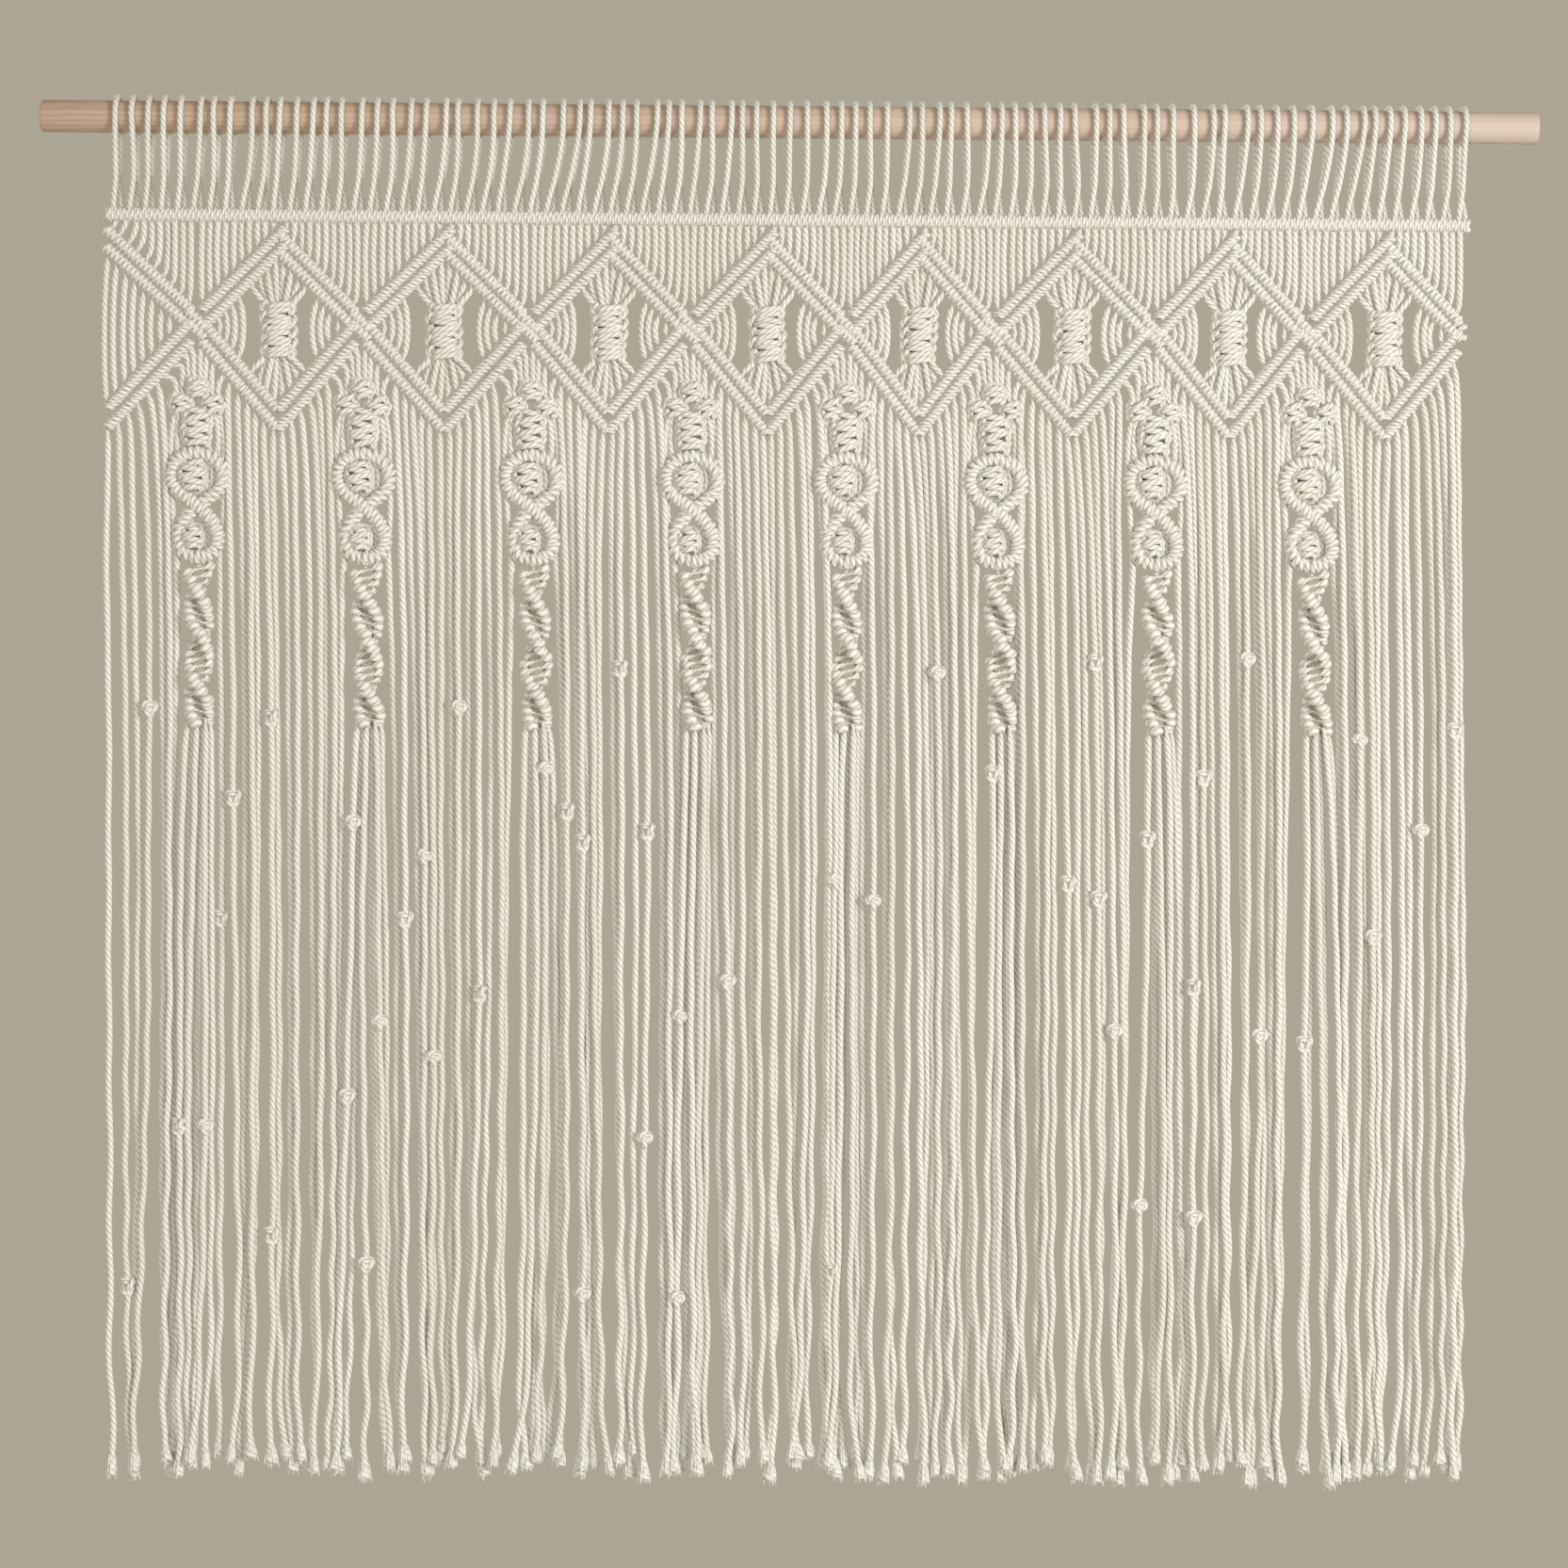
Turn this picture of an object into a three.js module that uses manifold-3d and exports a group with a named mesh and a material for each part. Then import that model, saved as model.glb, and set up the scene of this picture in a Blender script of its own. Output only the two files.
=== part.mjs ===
// A macrame curtain on a round wooden rod. Millimetres, +Z up, the front faces -Y.
// The origin is the middle of the rod, on its axis, and the knotted cords hang from there in the XZ plane.
import * as THREE from "three";
import { mergeVertices } from "three/addons/utils/BufferGeometryUtils.js";
import Module from "manifold-3d";

const wasm = await Module();
wasm.setup();

// Driving dimensions
const ROD_LENGTH = 984;
const ROD_RADIUS = 10.5;
const ROD_CHAMFER = 0.8;
const ROD_SIDES = 20;
const CORD = 4; // diameter of one cotton cord
const CLEARANCE = 0.45; // between pieces that touch on the real curtain
const HEADER_Z = -64.5; // middle of the knotted header bar
const HEADER_HEIGHT = 10.4;
const HEADER_RIDGES = 28;
const PEAK_Z = -76.5; // upper row of half hitches where two lattice lines meet under the header
const LATTICE_FALL = 54.5; // from a peak down to a crossing, and again from there to a valley
const ROW_DROP = 11.4; // from the upper to the lower row of one lattice line
const ROLL_HALF = 5.2; // half the height that one row of half hitches takes up on its sloping line
const ROLL_RIDGES = 3; // on one side of a diamond
const ROW_STOP = 6; // the lower rows end this far below a crossing, short of their neighbours
const BAR_EDGE = 3.5; // half the depth of a bar along its edges, where the cords run in
const BAR_CREST = 5.2; // from the middle plane to a bar's front crests
const RIDGE_DEPTH = 1.2; // from the crests down to the grooves between the wraps
const HEM_Z = -884;
const HEM_UNEVEN = 7;
const LEFT_EDGE = -447;
// Where the lattice lines cross, from left to right, as uneven as the hand knotting.
const CROSSINGS = [-389, -281, -170.5, -65, 38.5, 134.5, 240, 341, 444.5];
const CORDS_PER_SIDE = 10; // cords tied along one side of a diamond, counted from its crossing
const COLUMN_CORDS = 4; // of those, the ones that go on into the column below
const FIRST_SIDE_CORD = 2; // the ones before it lie hidden in the crossing
const FIRST_FAN_CORD = 6; // this one and the rest are gathered by the centre knot
const ROOT_DEPTH = 1; // free cords start this far before and behind the middle plane, by turns
const HEM_DEPTH = 2.7; // and end this far from it
const DEPTH_UNEVEN = 0.2;

// Solids and meshes

/** A three.js geometry as a solid, its shared vertices merged. */
function solid(geometry) {
  const bare = geometry.clone();
  bare.deleteAttribute("normal");
  bare.deleteAttribute("uv");
  const merged = mergeVertices(bare, 1e-3);
  return new wasm.Manifold(
    new wasm.Mesh({
      numProp: 3,
      vertProperties: merged.getAttribute("position").array,
      triVerts: new Uint32Array(merged.index.array),
    }),
  );
}

function named(name, geometry, material) {
  const mesh = new THREE.Mesh(geometry, material);
  mesh.name = name;
  return mesh;
}

/** One named mesh from geometries that are fused where they overlap. */
function fused(name, geometries, material) {
  const { vertProperties, triVerts } = wasm.Manifold.union(geometries.map(solid)).getMesh();
  const geometry = new THREE.BufferGeometry();
  geometry.setAttribute("position", new THREE.BufferAttribute(vertProperties, 3));
  geometry.setIndex(new THREE.BufferAttribute(triVerts, 1));
  geometry.computeVertexNormals();
  return named(name, geometry, material);
}

/** Moves every corner of a geometry to where the function puts it. */
function reshape(geometry, move) {
  const corners = geometry.getAttribute("position");
  for (let i = 0; i < corners.count; i++) {
    const corner = move(new THREE.Vector3().fromBufferAttribute(corners, i));
    corners.setXYZ(i, corner.x, corner.y, corner.z);
  }
  return geometry;
}

/** A repeatable number from -1 to 1, for the small unevenness of hand work. */
function uneven(index, seed) {
  const wave = Math.sin(index * 12.9898 + seed * 78.233) * 43758.5453;
  return 2 * (wave - Math.floor(wave)) - 1;
}

// Cords and bars

const shapeOf = (points) => new THREE.Shape(points.map(([x, y]) => new THREE.Vector2(x, y)));

/** A three-sided cord section, its first corner at the given angle in degrees. */
function cordSection(diameter, firstCorner) {
  const corners = [0, 120, 240].map((turn) => {
    const angle = THREE.MathUtils.degToRad(firstCorner + turn);
    return [(Math.cos(angle) * diameter) / 2, (Math.sin(angle) * diameter) / 2];
  });
  return shapeOf(corners);
}

const STRAND_WIDTH = CORD * 1.06;
const LOCK_WIDTH = CORD * 1.5;
const STRAND = cordSection(STRAND_WIDTH, 0);
const LOCK = cordSection(LOCK_WIDTH, 0); // two cords lying together
const GATHER = cordSection(CORD * 1.6, 0); // four cords drawn together
const LOOP = cordSection(STRAND_WIDTH, 90); // its flat side to the rod

/** A straight cord from start to end, [x, y, z] each: the section's x faces the front, its y across. */
function run(section, start, end) {
  const from = new THREE.Vector3(...start);
  const along = new THREE.Vector3(...end).sub(from);
  const depth = along.length();
  const across = along.normalize().clone().cross(new THREE.Vector3(0, -1, 0)).normalize();
  const front = across.clone().cross(along);
  return new THREE.ExtrudeGeometry(section, { depth, bevelEnabled: false }).applyMatrix4(
    new THREE.Matrix4().makeBasis(front, across, along).setPosition(from),
  );
}

/**
 * A bar of wound cord along a line of [x, z] corners. Its section's x is depth and its y is height.
 * Its front crests are notched at every other station, with so many ridges left on each leg of the line.
 */
function ridgedBar(section, line, ridges) {
  const legs = line.length - 1;
  const steps = 2 * ridges * legs;
  const bar = new THREE.ExtrudeGeometry(section, { steps, depth: steps, bevelEnabled: false });
  return reshape(bar, (corner) => {
    const station = Math.round(corner.z);
    const leg = Math.min(Math.floor(station / (2 * ridges)), legs - 1);
    const share = station / (2 * ridges) - leg;
    const [x, z] = [0, 1].map((i) => THREE.MathUtils.lerp(line[leg][i], line[leg + 1][i], share));
    const notched = station % 2 === 0 && corner.x > BAR_EDGE;
    const depth = corner.x - (notched ? RIDGE_DEPTH : 0);
    return corner.set(x, -depth, z - corner.y);
  });
}

/** The outline of one roll of half hitches. */
function rollSection(half, crest) {
  return shapeOf([
    [crest, 0],
    [BAR_EDGE, half],
    [-BAR_EDGE, half],
    [-BAR_EDGE, -half],
    [BAR_EDGE, -half],
  ]);
}

/** The outline of two rolls, one above the other, with a groove between them. */
function doubleRollSection() {
  const middle = ROW_DROP / 2;
  const edge = middle + ROLL_HALF;
  return shapeOf([
    [BAR_EDGE, -edge],
    [BAR_CREST, -middle],
    [BAR_EDGE, 0],
    [BAR_CREST, middle],
    [BAR_EDGE, edge],
    [-BAR_EDGE, edge],
    [-BAR_EDGE, -edge],
  ]);
}

const LOWER_ROLL = rollSection(ROLL_HALF, BAR_CREST - 0.4);

/** A smooth path whose stations are exactly the given points. */
class StationPath extends THREE.CatmullRomCurve3 {
  getUtoTmapping(u) {
    return u;
  }
}

// The lattice's plan: peaks under the header, crossings, and valleys straight below the peaks

const PEAKS = CROSSINGS.map((x, k) => (k === 0 ? LEFT_EDGE : (CROSSINGS[k - 1] + x) / 2));
const DIAMOND_MIDDLE = PEAK_Z - LATTICE_FALL - ROW_DROP / 2;

/** Every side of the zigzag as { peak, crossing, bay }, from left to right. */
const SIDES = CROSSINGS.flatMap((crossing, k) => {
  const falling = { peak: PEAKS[k], crossing, bay: k };
  const rising = { peak: PEAKS[k + 1], crossing, bay: k + 1 };
  return k + 1 < PEAKS.length ? [falling, rising] : [falling];
});

/** How far below its peak a lattice line has come at x. */
const fall = (side, x) => (LATTICE_FALL * Math.abs(x - side.peak)) / Math.abs(side.crossing - side.peak);
/** Height of the upper zigzag's first row at x. */
const upperRow = (side, x) => PEAK_Z - fall(side, x);
/** Height of the lower zigzag's first row at x. */
const lowerRow = (side, x) => PEAK_Z - 2 * LATTICE_FALL + fall(side, x);
/** Where a side's cord hangs; rank 0 is next to the crossing. */
const cordX = (side, rank) => side.crossing + ((rank + 0.5) / CORDS_PER_SIDE) * (side.peak - side.crossing);
/** The corners of the lower zigzag under one diamond, so far below its first row. */
function valleyLine(bay, below) {
  const sides = SIDES.filter((side) => side.bay === bay);
  const ends = sides.map(({ peak, crossing }) => [
    THREE.MathUtils.lerp(crossing, peak, ROW_STOP / LATTICE_FALL),
    PEAK_Z - LATTICE_FALL - ROW_STOP - below,
  ]);
  const valley = [PEAKS[bay], PEAK_Z - 2 * LATTICE_FALL - below];
  return bay === 0 ? [valley, ends[0]] : [ends[0], valley, ends[1]];
}
/** The whole curtain's number of a side's cord. */
const cordIndex = (side, rank) => SIDES.indexOf(side) * CORDS_PER_SIDE + rank;

// Materials

const cotton = new THREE.MeshStandardMaterial({ color: 0xe3dccb, roughness: 0.95, metalness: 0 });
const wood = new THREE.MeshStandardMaterial({ color: 0xc9a583, roughness: 0.6, metalness: 0 });

// Sub-parts

/** The rod: a plain dowel with eased ends, along X. */
function makeRod() {
  const half = ROD_LENGTH / 2;
  const eased = ROD_RADIUS - ROD_CHAMFER;
  const profile = [
    [0, -half],
    [eased, -half],
    [ROD_RADIUS, -half + ROD_CHAMFER],
    [ROD_RADIUS, half - ROD_CHAMFER],
    [eased, half],
    [0, half],
  ];
  const outline = profile.map(([r, y]) => new THREE.Vector2(r, y));
  return named("rod", new THREE.LatheGeometry(outline, ROD_SIDES).rotateZ(-Math.PI / 2), wood);
}

/** The heading: cords folded over the rod, both legs tied into the header bar. */
function makeHeading() {
  const first = LEFT_EDGE;
  const last = CROSSINGS.at(-1) + CORD;
  const loops = (SIDES.length * CORDS_PER_SIDE) / 2;
  const shoulder = THREE.MathUtils.degToRad(20); // above the rod's axis, where a leg turns over it
  const inner = (ROD_RADIUS + CLEARANCE) / Math.cos((Math.PI / 2 - shoulder) / 2);
  const reach = inner + STRAND_WIDTH / 4;
  const geometries = Array.from({ length: loops }, (_, i) => {
    const x = THREE.MathUtils.lerp(first, last, (i + 0.5) / loops);
    const lean = x + uneven(i, 1);
    const legs = DEPTH_UNEVEN * (1 + uneven(i, 7)); // they run into the bar this far from its middle
    const stations = [
      [x - CORD / 2, -legs, HEADER_Z],
      [lean, -reach * Math.cos(shoulder), reach * Math.sin(shoulder)],
      [lean, 0, reach],
      [lean, reach * Math.cos(shoulder), reach * Math.sin(shoulder)],
      [x + CORD / 2, legs, HEADER_Z],
    ];
    const extrudePath = new StationPath(stations.map((p) => new THREE.Vector3(...p)));
    return new THREE.ExtrudeGeometry(LOOP, { steps: stations.length - 1, extrudePath, bevelEnabled: false });
  });
  const line = [first - CORD / 2, last + CORD / 2].map((x) => [x, HEADER_Z]);
  geometries.push(ridgedBar(rollSection(HEADER_HEIGHT / 2, BAR_CREST), line, HEADER_RIDGES));
  return fused("heading", geometries, cotton);
}

/** A centre knot: a ridged barrel, flattened in depth, round the cords gathered in a diamond. */
function centreKnot(x) {
  const bands = 3;
  const radius = 10;
  const height = 38;
  const flatness = 0.7;
  const profile = Array.from({ length: 2 * bands + 1 }, (_, i) => {
    return new THREE.Vector2(i % 2 ? radius - 2 * RIDGE_DEPTH : radius, (i / (2 * bands) - 0.5) * height);
  });
  profile.unshift(new THREE.Vector2(0, -height / 2));
  profile.push(new THREE.Vector2(0, height / 2));
  return new THREE.LatheGeometry(profile, 6)
    .rotateX(Math.PI / 2)
    .scale(1, flatness, 1)
    .translate(x, 0, DIAMOND_MIDDLE);
}

/** The lattice: two crossing zigzags of half hitches, the cords between them and the centre knots. */
function makeLattice() {
  const upperLine = CROSSINGS.flatMap((x, k) => [
    [PEAKS[k], PEAK_Z - ROW_DROP / 2],
    [x, PEAK_Z - LATTICE_FALL - ROW_DROP / 2],
  ]);
  const geometries = [ridgedBar(doubleRollSection(), upperLine, ROLL_RIDGES)];
  PEAKS.forEach((_, bay) => geometries.push(ridgedBar(LOWER_ROLL, valleyLine(bay, 0), ROLL_RIDGES)));
  const top = HEADER_Z - HEADER_HEIGHT / 2 - CLEARANCE;
  const gather = 14; // above and below a diamond's middle, where its cords run into the knot
  for (const side of SIDES) {
    const { peak, bay } = side;
    for (let rank = 0; rank < CORDS_PER_SIDE; rank += 2) {
      const x = cordX(side, rank + 0.5);
      const y = DEPTH_UNEVEN * uneven(cordIndex(side, rank), 6);
      const rowTop = upperRow(side, x);
      if (top - rowTop > 2 * CORD) {
        geometries.push(run(LOCK, [x, y, top], [x, y, rowTop]));
      }
      if (rank >= FIRST_SIDE_CORD && (rank < FIRST_FAN_CORD || bay === 0)) {
        geometries.push(run(LOCK, [x, y, rowTop - ROW_DROP], [x, y, lowerRow(side, x)]));
      }
    }
    if (bay > 0) {
      const x = cordX(side, (FIRST_FAN_CORD + CORDS_PER_SIDE - 1) / 2);
      const gathered = peak + (x - peak) * 0.3;
      const into = [gathered, 0, DIAMOND_MIDDLE + gather];
      const outOf = [gathered, 0, DIAMOND_MIDDLE - gather];
      geometries.push(run(GATHER, [x, 0, upperRow(side, x) - ROW_DROP], into));
      geometries.push(run(GATHER, outOf, [x, 0, lowerRow(side, x)]));
    }
  }
  PEAKS.slice(1).forEach((x) => geometries.push(centreKnot(x)));
  return fused("lattice", geometries, cotton);
}

/** A free cord from its root, [x, depth, z], to its x at the hem; neighbours lie in different layers. */
function hangingCord([x, depth, z], hemX, index) {
  const layer = index % 2 ? 1 : -1;
  const hem = HEM_Z + HEM_UNEVEN * uneven(index, 4);
  const rootY = layer * depth + DEPTH_UNEVEN * uneven(index, 5);
  return run(STRAND, [x, rootY, z], [hemX + uneven(index, 2), layer * HEM_DEPTH, hem]);
}

/** The free cords under one diamond, rooted in its lowest row of half hitches. */
function makeFringe(bay) {
  const geometries = [ridgedBar(LOWER_ROLL, valleyLine(bay, ROW_DROP), ROLL_RIDGES)];
  for (const side of SIDES.filter((one) => one.bay === bay)) {
    const lastSide = side.crossing === CROSSINGS.at(-1);
    for (let rank = lastSide ? 1 : COLUMN_CORDS; rank < CORDS_PER_SIDE; rank++) {
      const x = cordX(side, rank);
      const root = [x, ROOT_DEPTH, lowerRow(side, x) - ROW_DROP];
      geometries.push(hangingCord(root, x, cordIndex(side, rank)));
    }
  }
  return fused("fringe_" + (bay + 1), geometries, cotton);
}

// A column's knots, measured down from the lowest row at its crossing
const HEAD_PROFILE = [
  // [half width, below the row]: square knots in three rows of one, two and one
  [0, 30],
  [7, 30],
  [9.5, 38],
  [8, 45],
  [18, 53],
  [12, 62],
  [13, 70],
  [8, 77],
  [0, 77],
];
const HEAD_TOP = 1; // rows of the profile where the inner and the outer cords run in
const HEAD_SHOULDER = 4;
const RINGS = [
  // the two rings of half hitches, each round a button
  { below: 92.5, radius: 18.8, tube: 5.2 },
  { below: 134, radius: 16, tube: 5 },
];
const TWIST = {
  top: 141,
  bottom: 258,
  width: 21,
  depth: 10,
  turns: 1.5,
  steps: 9,
  spread: 2.3, // between the cords that come out below, and how far they lie before and behind the middle
  layers: 1.9,
};
const HEM_SPREAD = 4.4; // between a column's cords at the hem

/** The head of a column: its rows of square knots as one ridged, flattened turning. */
function columnHead() {
  const flatness = 0.5;
  const profile = HEAD_PROFILE.map(([r, below]) => new THREE.Vector2(r, -below)).reverse();
  return new THREE.LatheGeometry(profile, 6).rotateX(Math.PI / 2).scale(1, flatness, 1);
}

/** A ring of half hitches with its button, turned about the depth axis and notched between the wraps. */
function columnRing({ below, radius, tube }) {
  const wraps = 4;
  const turn = 0.2; // so that no wrap lies straight above the next knot
  const profile = [
    [0, -tube],
    [radius - tube, -tube / 2],
    [radius, 0],
    [radius - tube, tube],
    [radius - 2 * tube, tube / 4],
    [0, tube],
  ];
  const ring = new THREE.LatheGeometry(profile.map(([r, y]) => new THREE.Vector2(r, y)), 2 * wraps);
  reshape(ring, (corner) => {
    const station = Math.round((Math.atan2(corner.z, corner.x) / Math.PI) * wraps);
    const notch = station % 2 ? 1 - RIDGE_DEPTH / radius : 1;
    return corner.set(corner.x * notch, corner.y, corner.z * notch);
  });
  return ring.rotateY(turn).rotateX(Math.PI).translate(0, 0, -below);
}

/** The twisted sennit of half knots: a flat section that turns as it goes down. */
function columnTwist() {
  const { top, bottom, width, depth, turns, steps } = TWIST;
  const section = shapeOf([
    [-width / 2, -depth / 2],
    [width / 2, -depth / 2],
    [width / 2, depth / 2],
    [-width / 2, depth / 2],
  ]);
  const height = bottom - top;
  const twist = new THREE.ExtrudeGeometry(section, { steps, depth: height, bevelEnabled: false });
  const upward = new THREE.Vector3(0, 0, 1);
  reshape(twist, (corner) => {
    const narrowing = corner.z === height ? 0.35 : 1; // its top is drawn into the ring above
    corner.set(corner.x * narrowing, corner.y * narrowing, corner.z);
    return corner.applyAxisAngle(upward, (corner.z / height) * turns * 2 * Math.PI);
  });
  return twist.translate(0, 0, -bottom);
}

/** One knotted column under a crossing, with the cords that hang on from it. */
function makeColumn(k) {
  const crossing = CROSSINGS[k];
  const rowZ = PEAK_Z - LATTICE_FALL - ROW_DROP;
  const knots = [columnHead(), ...RINGS.map(columnRing), columnTwist()];
  const geometries = knots.map((knot) => knot.translate(crossing, 0, rowZ));
  const [upper, lower] = RINGS;
  const from = rowZ - upper.below - (upper.radius - upper.tube);
  const to = rowZ - lower.below + (lower.radius - lower.tube);
  geometries.push(run(GATHER, [crossing, 0, from], [crossing, 0, to]));
  for (const side of SIDES.filter((one) => one.crossing === crossing)) {
    const away = Math.sign(side.peak - crossing);
    for (let rank = 0; rank < COLUMN_CORDS; rank++) {
      const place = away * (rank + 0.5);
      const root = [crossing + place * TWIST.spread, TWIST.layers, rowZ - TWIST.bottom + CORD / 2];
      geometries.push(hangingCord(root, crossing + place * HEM_SPREAD, cordIndex(side, rank)));
    }
    for (let rank = 0; rank < COLUMN_CORDS; rank += 2) {
      const x = cordX(side, rank + 0.5);
      const edge = x + (away * LOCK_WIDTH * Math.sqrt(3)) / 4;
      const root = lowerRow(side, edge) - ROW_DROP - ROLL_HALF - CLEARANCE;
      const [half, below] = HEAD_PROFILE[rank === 0 ? HEAD_TOP : HEAD_SHOULDER];
      geometries.push(run(LOCK, [x, 0, root], [crossing + away * (half - CORD), 0, rowZ - below - CORD / 2]));
    }
  }
  return fused("column_" + (k + 1), geometries, cotton);
}

// The curtain

const curtain = new THREE.Group();
curtain.add(makeRod(), makeHeading(), makeLattice());
PEAKS.forEach((_, bay) => curtain.add(makeFringe(bay)));
CROSSINGS.slice(0, -1).forEach((_, k) => curtain.add(makeColumn(k)));

export default curtain;
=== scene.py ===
"""The looks of a macrame curtain on a wooden rod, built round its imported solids.

Lengths are millimetres until a mesh is written, in metres. +X runs along the rod, -Y to the front and
+Z up, with the origin in the middle of the rod. Cords are round sections carried along paths that whole
arrays hold.
"""
import logging
import math
from dataclasses import dataclass, field
from enum import Enum, IntEnum

import bpy
import numpy as np
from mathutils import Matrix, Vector


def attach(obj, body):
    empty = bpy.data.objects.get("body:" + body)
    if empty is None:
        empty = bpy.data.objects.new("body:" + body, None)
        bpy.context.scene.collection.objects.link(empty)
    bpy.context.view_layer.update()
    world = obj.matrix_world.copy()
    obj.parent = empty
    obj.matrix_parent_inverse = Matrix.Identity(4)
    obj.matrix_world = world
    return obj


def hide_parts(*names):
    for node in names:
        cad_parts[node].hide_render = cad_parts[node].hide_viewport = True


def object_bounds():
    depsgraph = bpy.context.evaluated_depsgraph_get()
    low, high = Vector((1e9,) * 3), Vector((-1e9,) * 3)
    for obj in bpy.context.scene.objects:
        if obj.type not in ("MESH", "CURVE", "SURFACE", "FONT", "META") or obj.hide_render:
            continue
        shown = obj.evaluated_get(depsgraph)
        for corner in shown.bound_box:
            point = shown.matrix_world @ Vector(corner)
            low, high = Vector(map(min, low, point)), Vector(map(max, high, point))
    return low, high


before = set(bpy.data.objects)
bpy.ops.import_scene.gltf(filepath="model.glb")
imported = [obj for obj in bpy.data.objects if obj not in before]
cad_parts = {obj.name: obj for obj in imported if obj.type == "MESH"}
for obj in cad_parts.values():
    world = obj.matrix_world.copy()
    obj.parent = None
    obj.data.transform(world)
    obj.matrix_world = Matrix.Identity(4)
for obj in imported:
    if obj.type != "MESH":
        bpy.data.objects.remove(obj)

CAD_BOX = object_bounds()
BODY = "root"
MM = 0.001
FRONT = np.array([0.0, -1.0, 0.0])
# The left and the right hand of a row, a knot or a column.
HANDS = (-1.0, 1.0)
CORD_MAP = "cord"
TONE = "tone"
# Places on the cord map: on a ply's crest, and deep between two plies, where the colour is the painted
# shade of the groove.
CREST = 1 / 12
GROOVE_SHADE = 0.0
# Share of its radius that a cord loses to a row, how far that reaches, and the length over which it ends.
NIP = 0.38
NIP_FROM = 5.0
NIP_OVER = 5.0
# Angles round a closed band of cord, and the power that squares the band off.
BAND_ANGLES = np.linspace(0, 2 * np.pi, 20, endpoint=False)
BAND_POWER = 0.8
# Sockets of a Mix node for colours: the share, both colours and the result.
MIX_SHARE, MIX_LOW, MIX_HIGH, MIX_RESULT = 0, 6, 7, 2

Array = np.ndarray
Colour = tuple[float, float, float, float]
Place = tuple[float, float, float]
Spot = tuple[float, float]
Marks = tuple[tuple[float, ...], ...]
Material = bpy.types.Material
Mesh = bpy.types.Mesh
Piece = bpy.types.Object
Socket = bpy.types.NodeSocket
Source = Socket | float | Colour | Place

log = logging.getLogger("macrame_curtain")


class Slot(Enum):
    """The record's material slots."""

    COTTON = "cotton cord"
    WOOD = "rod wood"


class Seed(IntEnum):
    """Where the repeatable unevenness of each kind of work starts to count."""

    LOOP_TOP = 11
    LOOP_BOW = 12
    LOOP_TONE = 13
    HEADER_BAR = 14
    ROW = 100
    CROSSING = 180
    UPPER_CORD = 200
    UPPER_TONE = 210
    SIDE_CORD = 300
    SIDE_TONE = 310
    FAN_TONE = 320
    CENTRE_KNOT = 400
    FRINGE_LEAVE = 500
    FRINGE_CORD = 510
    FRINGE_END = 700
    FRINGE_KNOT = 750
    HEAD_CORD = 800
    TWIST_BAND = 820
    TWIST_START = 840
    RING_ROW = 860
    TAIL_CORD = 900
    SIDE_TAIL = 905
    COLUMN_END = 1000
    COLUMN_KNOT = 1030
    HEAD_KNOT = 1100
    THROAT_KNOT = 1120
    BUTTON = 1140


@dataclass(frozen=True)
class Varied:
    """A size that differs in hand work: its middle, and how far it goes to either side."""

    middle: float
    apart: float

    def by(self, odd: Array) -> Array:
        """The size at an unevenness from -1 to 1."""
        return self.middle + self.apart * odd


# Small array helpers


def ease(share: Array) -> Array:
    """Smooth step, 3 s^2 - 2 s^3, of a share held between 0 and 1."""
    held = np.clip(share, 0.0, 1.0)
    return held * held * (3.0 - 2.0 * held)


def uneven(seed: int, *shape: int) -> Array:
    """Repeatable unevenness of hand work, from -1 to 1, as an array of that shape."""
    return np.random.default_rng(seed).uniform(-1.0, 1.0, shape)


def alternate(ranks: Array) -> Array:
    """1 for odd ranks, which hang behind, and -1 for even ones, which hang in front."""
    return np.where(ranks % 2, 1.0, -1.0)


def points(x: Array | float, y: Array | float, z: Array | float) -> Array:
    """Three coordinates, spread to a common shape, as one array of points."""
    return np.stack(np.broadcast_arrays(x, y, z), axis=-1).astype(float)


def turned(x: Array, y: Array, z: Array | float, angle: Array) -> Array:
    """Points turned by an angle about an upright axis."""
    return points(x * np.cos(angle) - y * np.sin(angle), x * np.sin(angle) + y * np.cos(angle), z)


def unit(vectors: Array) -> Array:
    """The vectors at length one."""
    return vectors / np.maximum(np.linalg.norm(vectors, axis=-1, keepdims=True), 1e-9)


def through(marks: Array, stations: int) -> Array:
    """Smooth paths through marked points, each span a Catmull-Rom cubic of its four nearest marks.

    Args:
        marks: points to pass through, (cords, marks, coordinates).
        stations: points wanted along each path.

    Returns:
        The paths, (cords, stations, coordinates).
    """
    first = 2 * marks[:, :1] - marks[:, 1:2]
    last = 2 * marks[:, -1:] - marks[:, -2:-1]
    ends = np.concatenate([first, marks, last], axis=1)
    place = np.linspace(0, marks.shape[1] - 1, stations)
    span = np.minimum(place.astype(int), marks.shape[1] - 2)
    s = (place - span)[None, :, None]
    a, b, c, d = (ends[:, span + i] for i in range(4))
    return 0.5 * (2 * b + (c - a) * s + (2 * a - 5 * b + 4 * c - d) * s**2 + (3 * b - a - 3 * c + d) * s**3)


def nipped(paths: Array, first: bool, last: bool) -> Array:
    """Share of its radius that a cord keeps: 1 - nip (1 - smooth step of the way past the row).

    Args:
        paths: centre lines, (cords, stations, 3).
        first: whether a row nips their starts.
        last: whether a row nips their ends.

    Returns:
        (cords, stations).
    """
    kept = np.ones(paths.shape[:2])
    for end in [0] * first + [-1] * last:
        away = np.linalg.norm(paths - paths[:, end][:, None], axis=-1)
        kept -= NIP * (1 - ease((away - NIP_FROM) / NIP_OVER))
    return np.maximum(kept, 1 - NIP)


# Finishes


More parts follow.
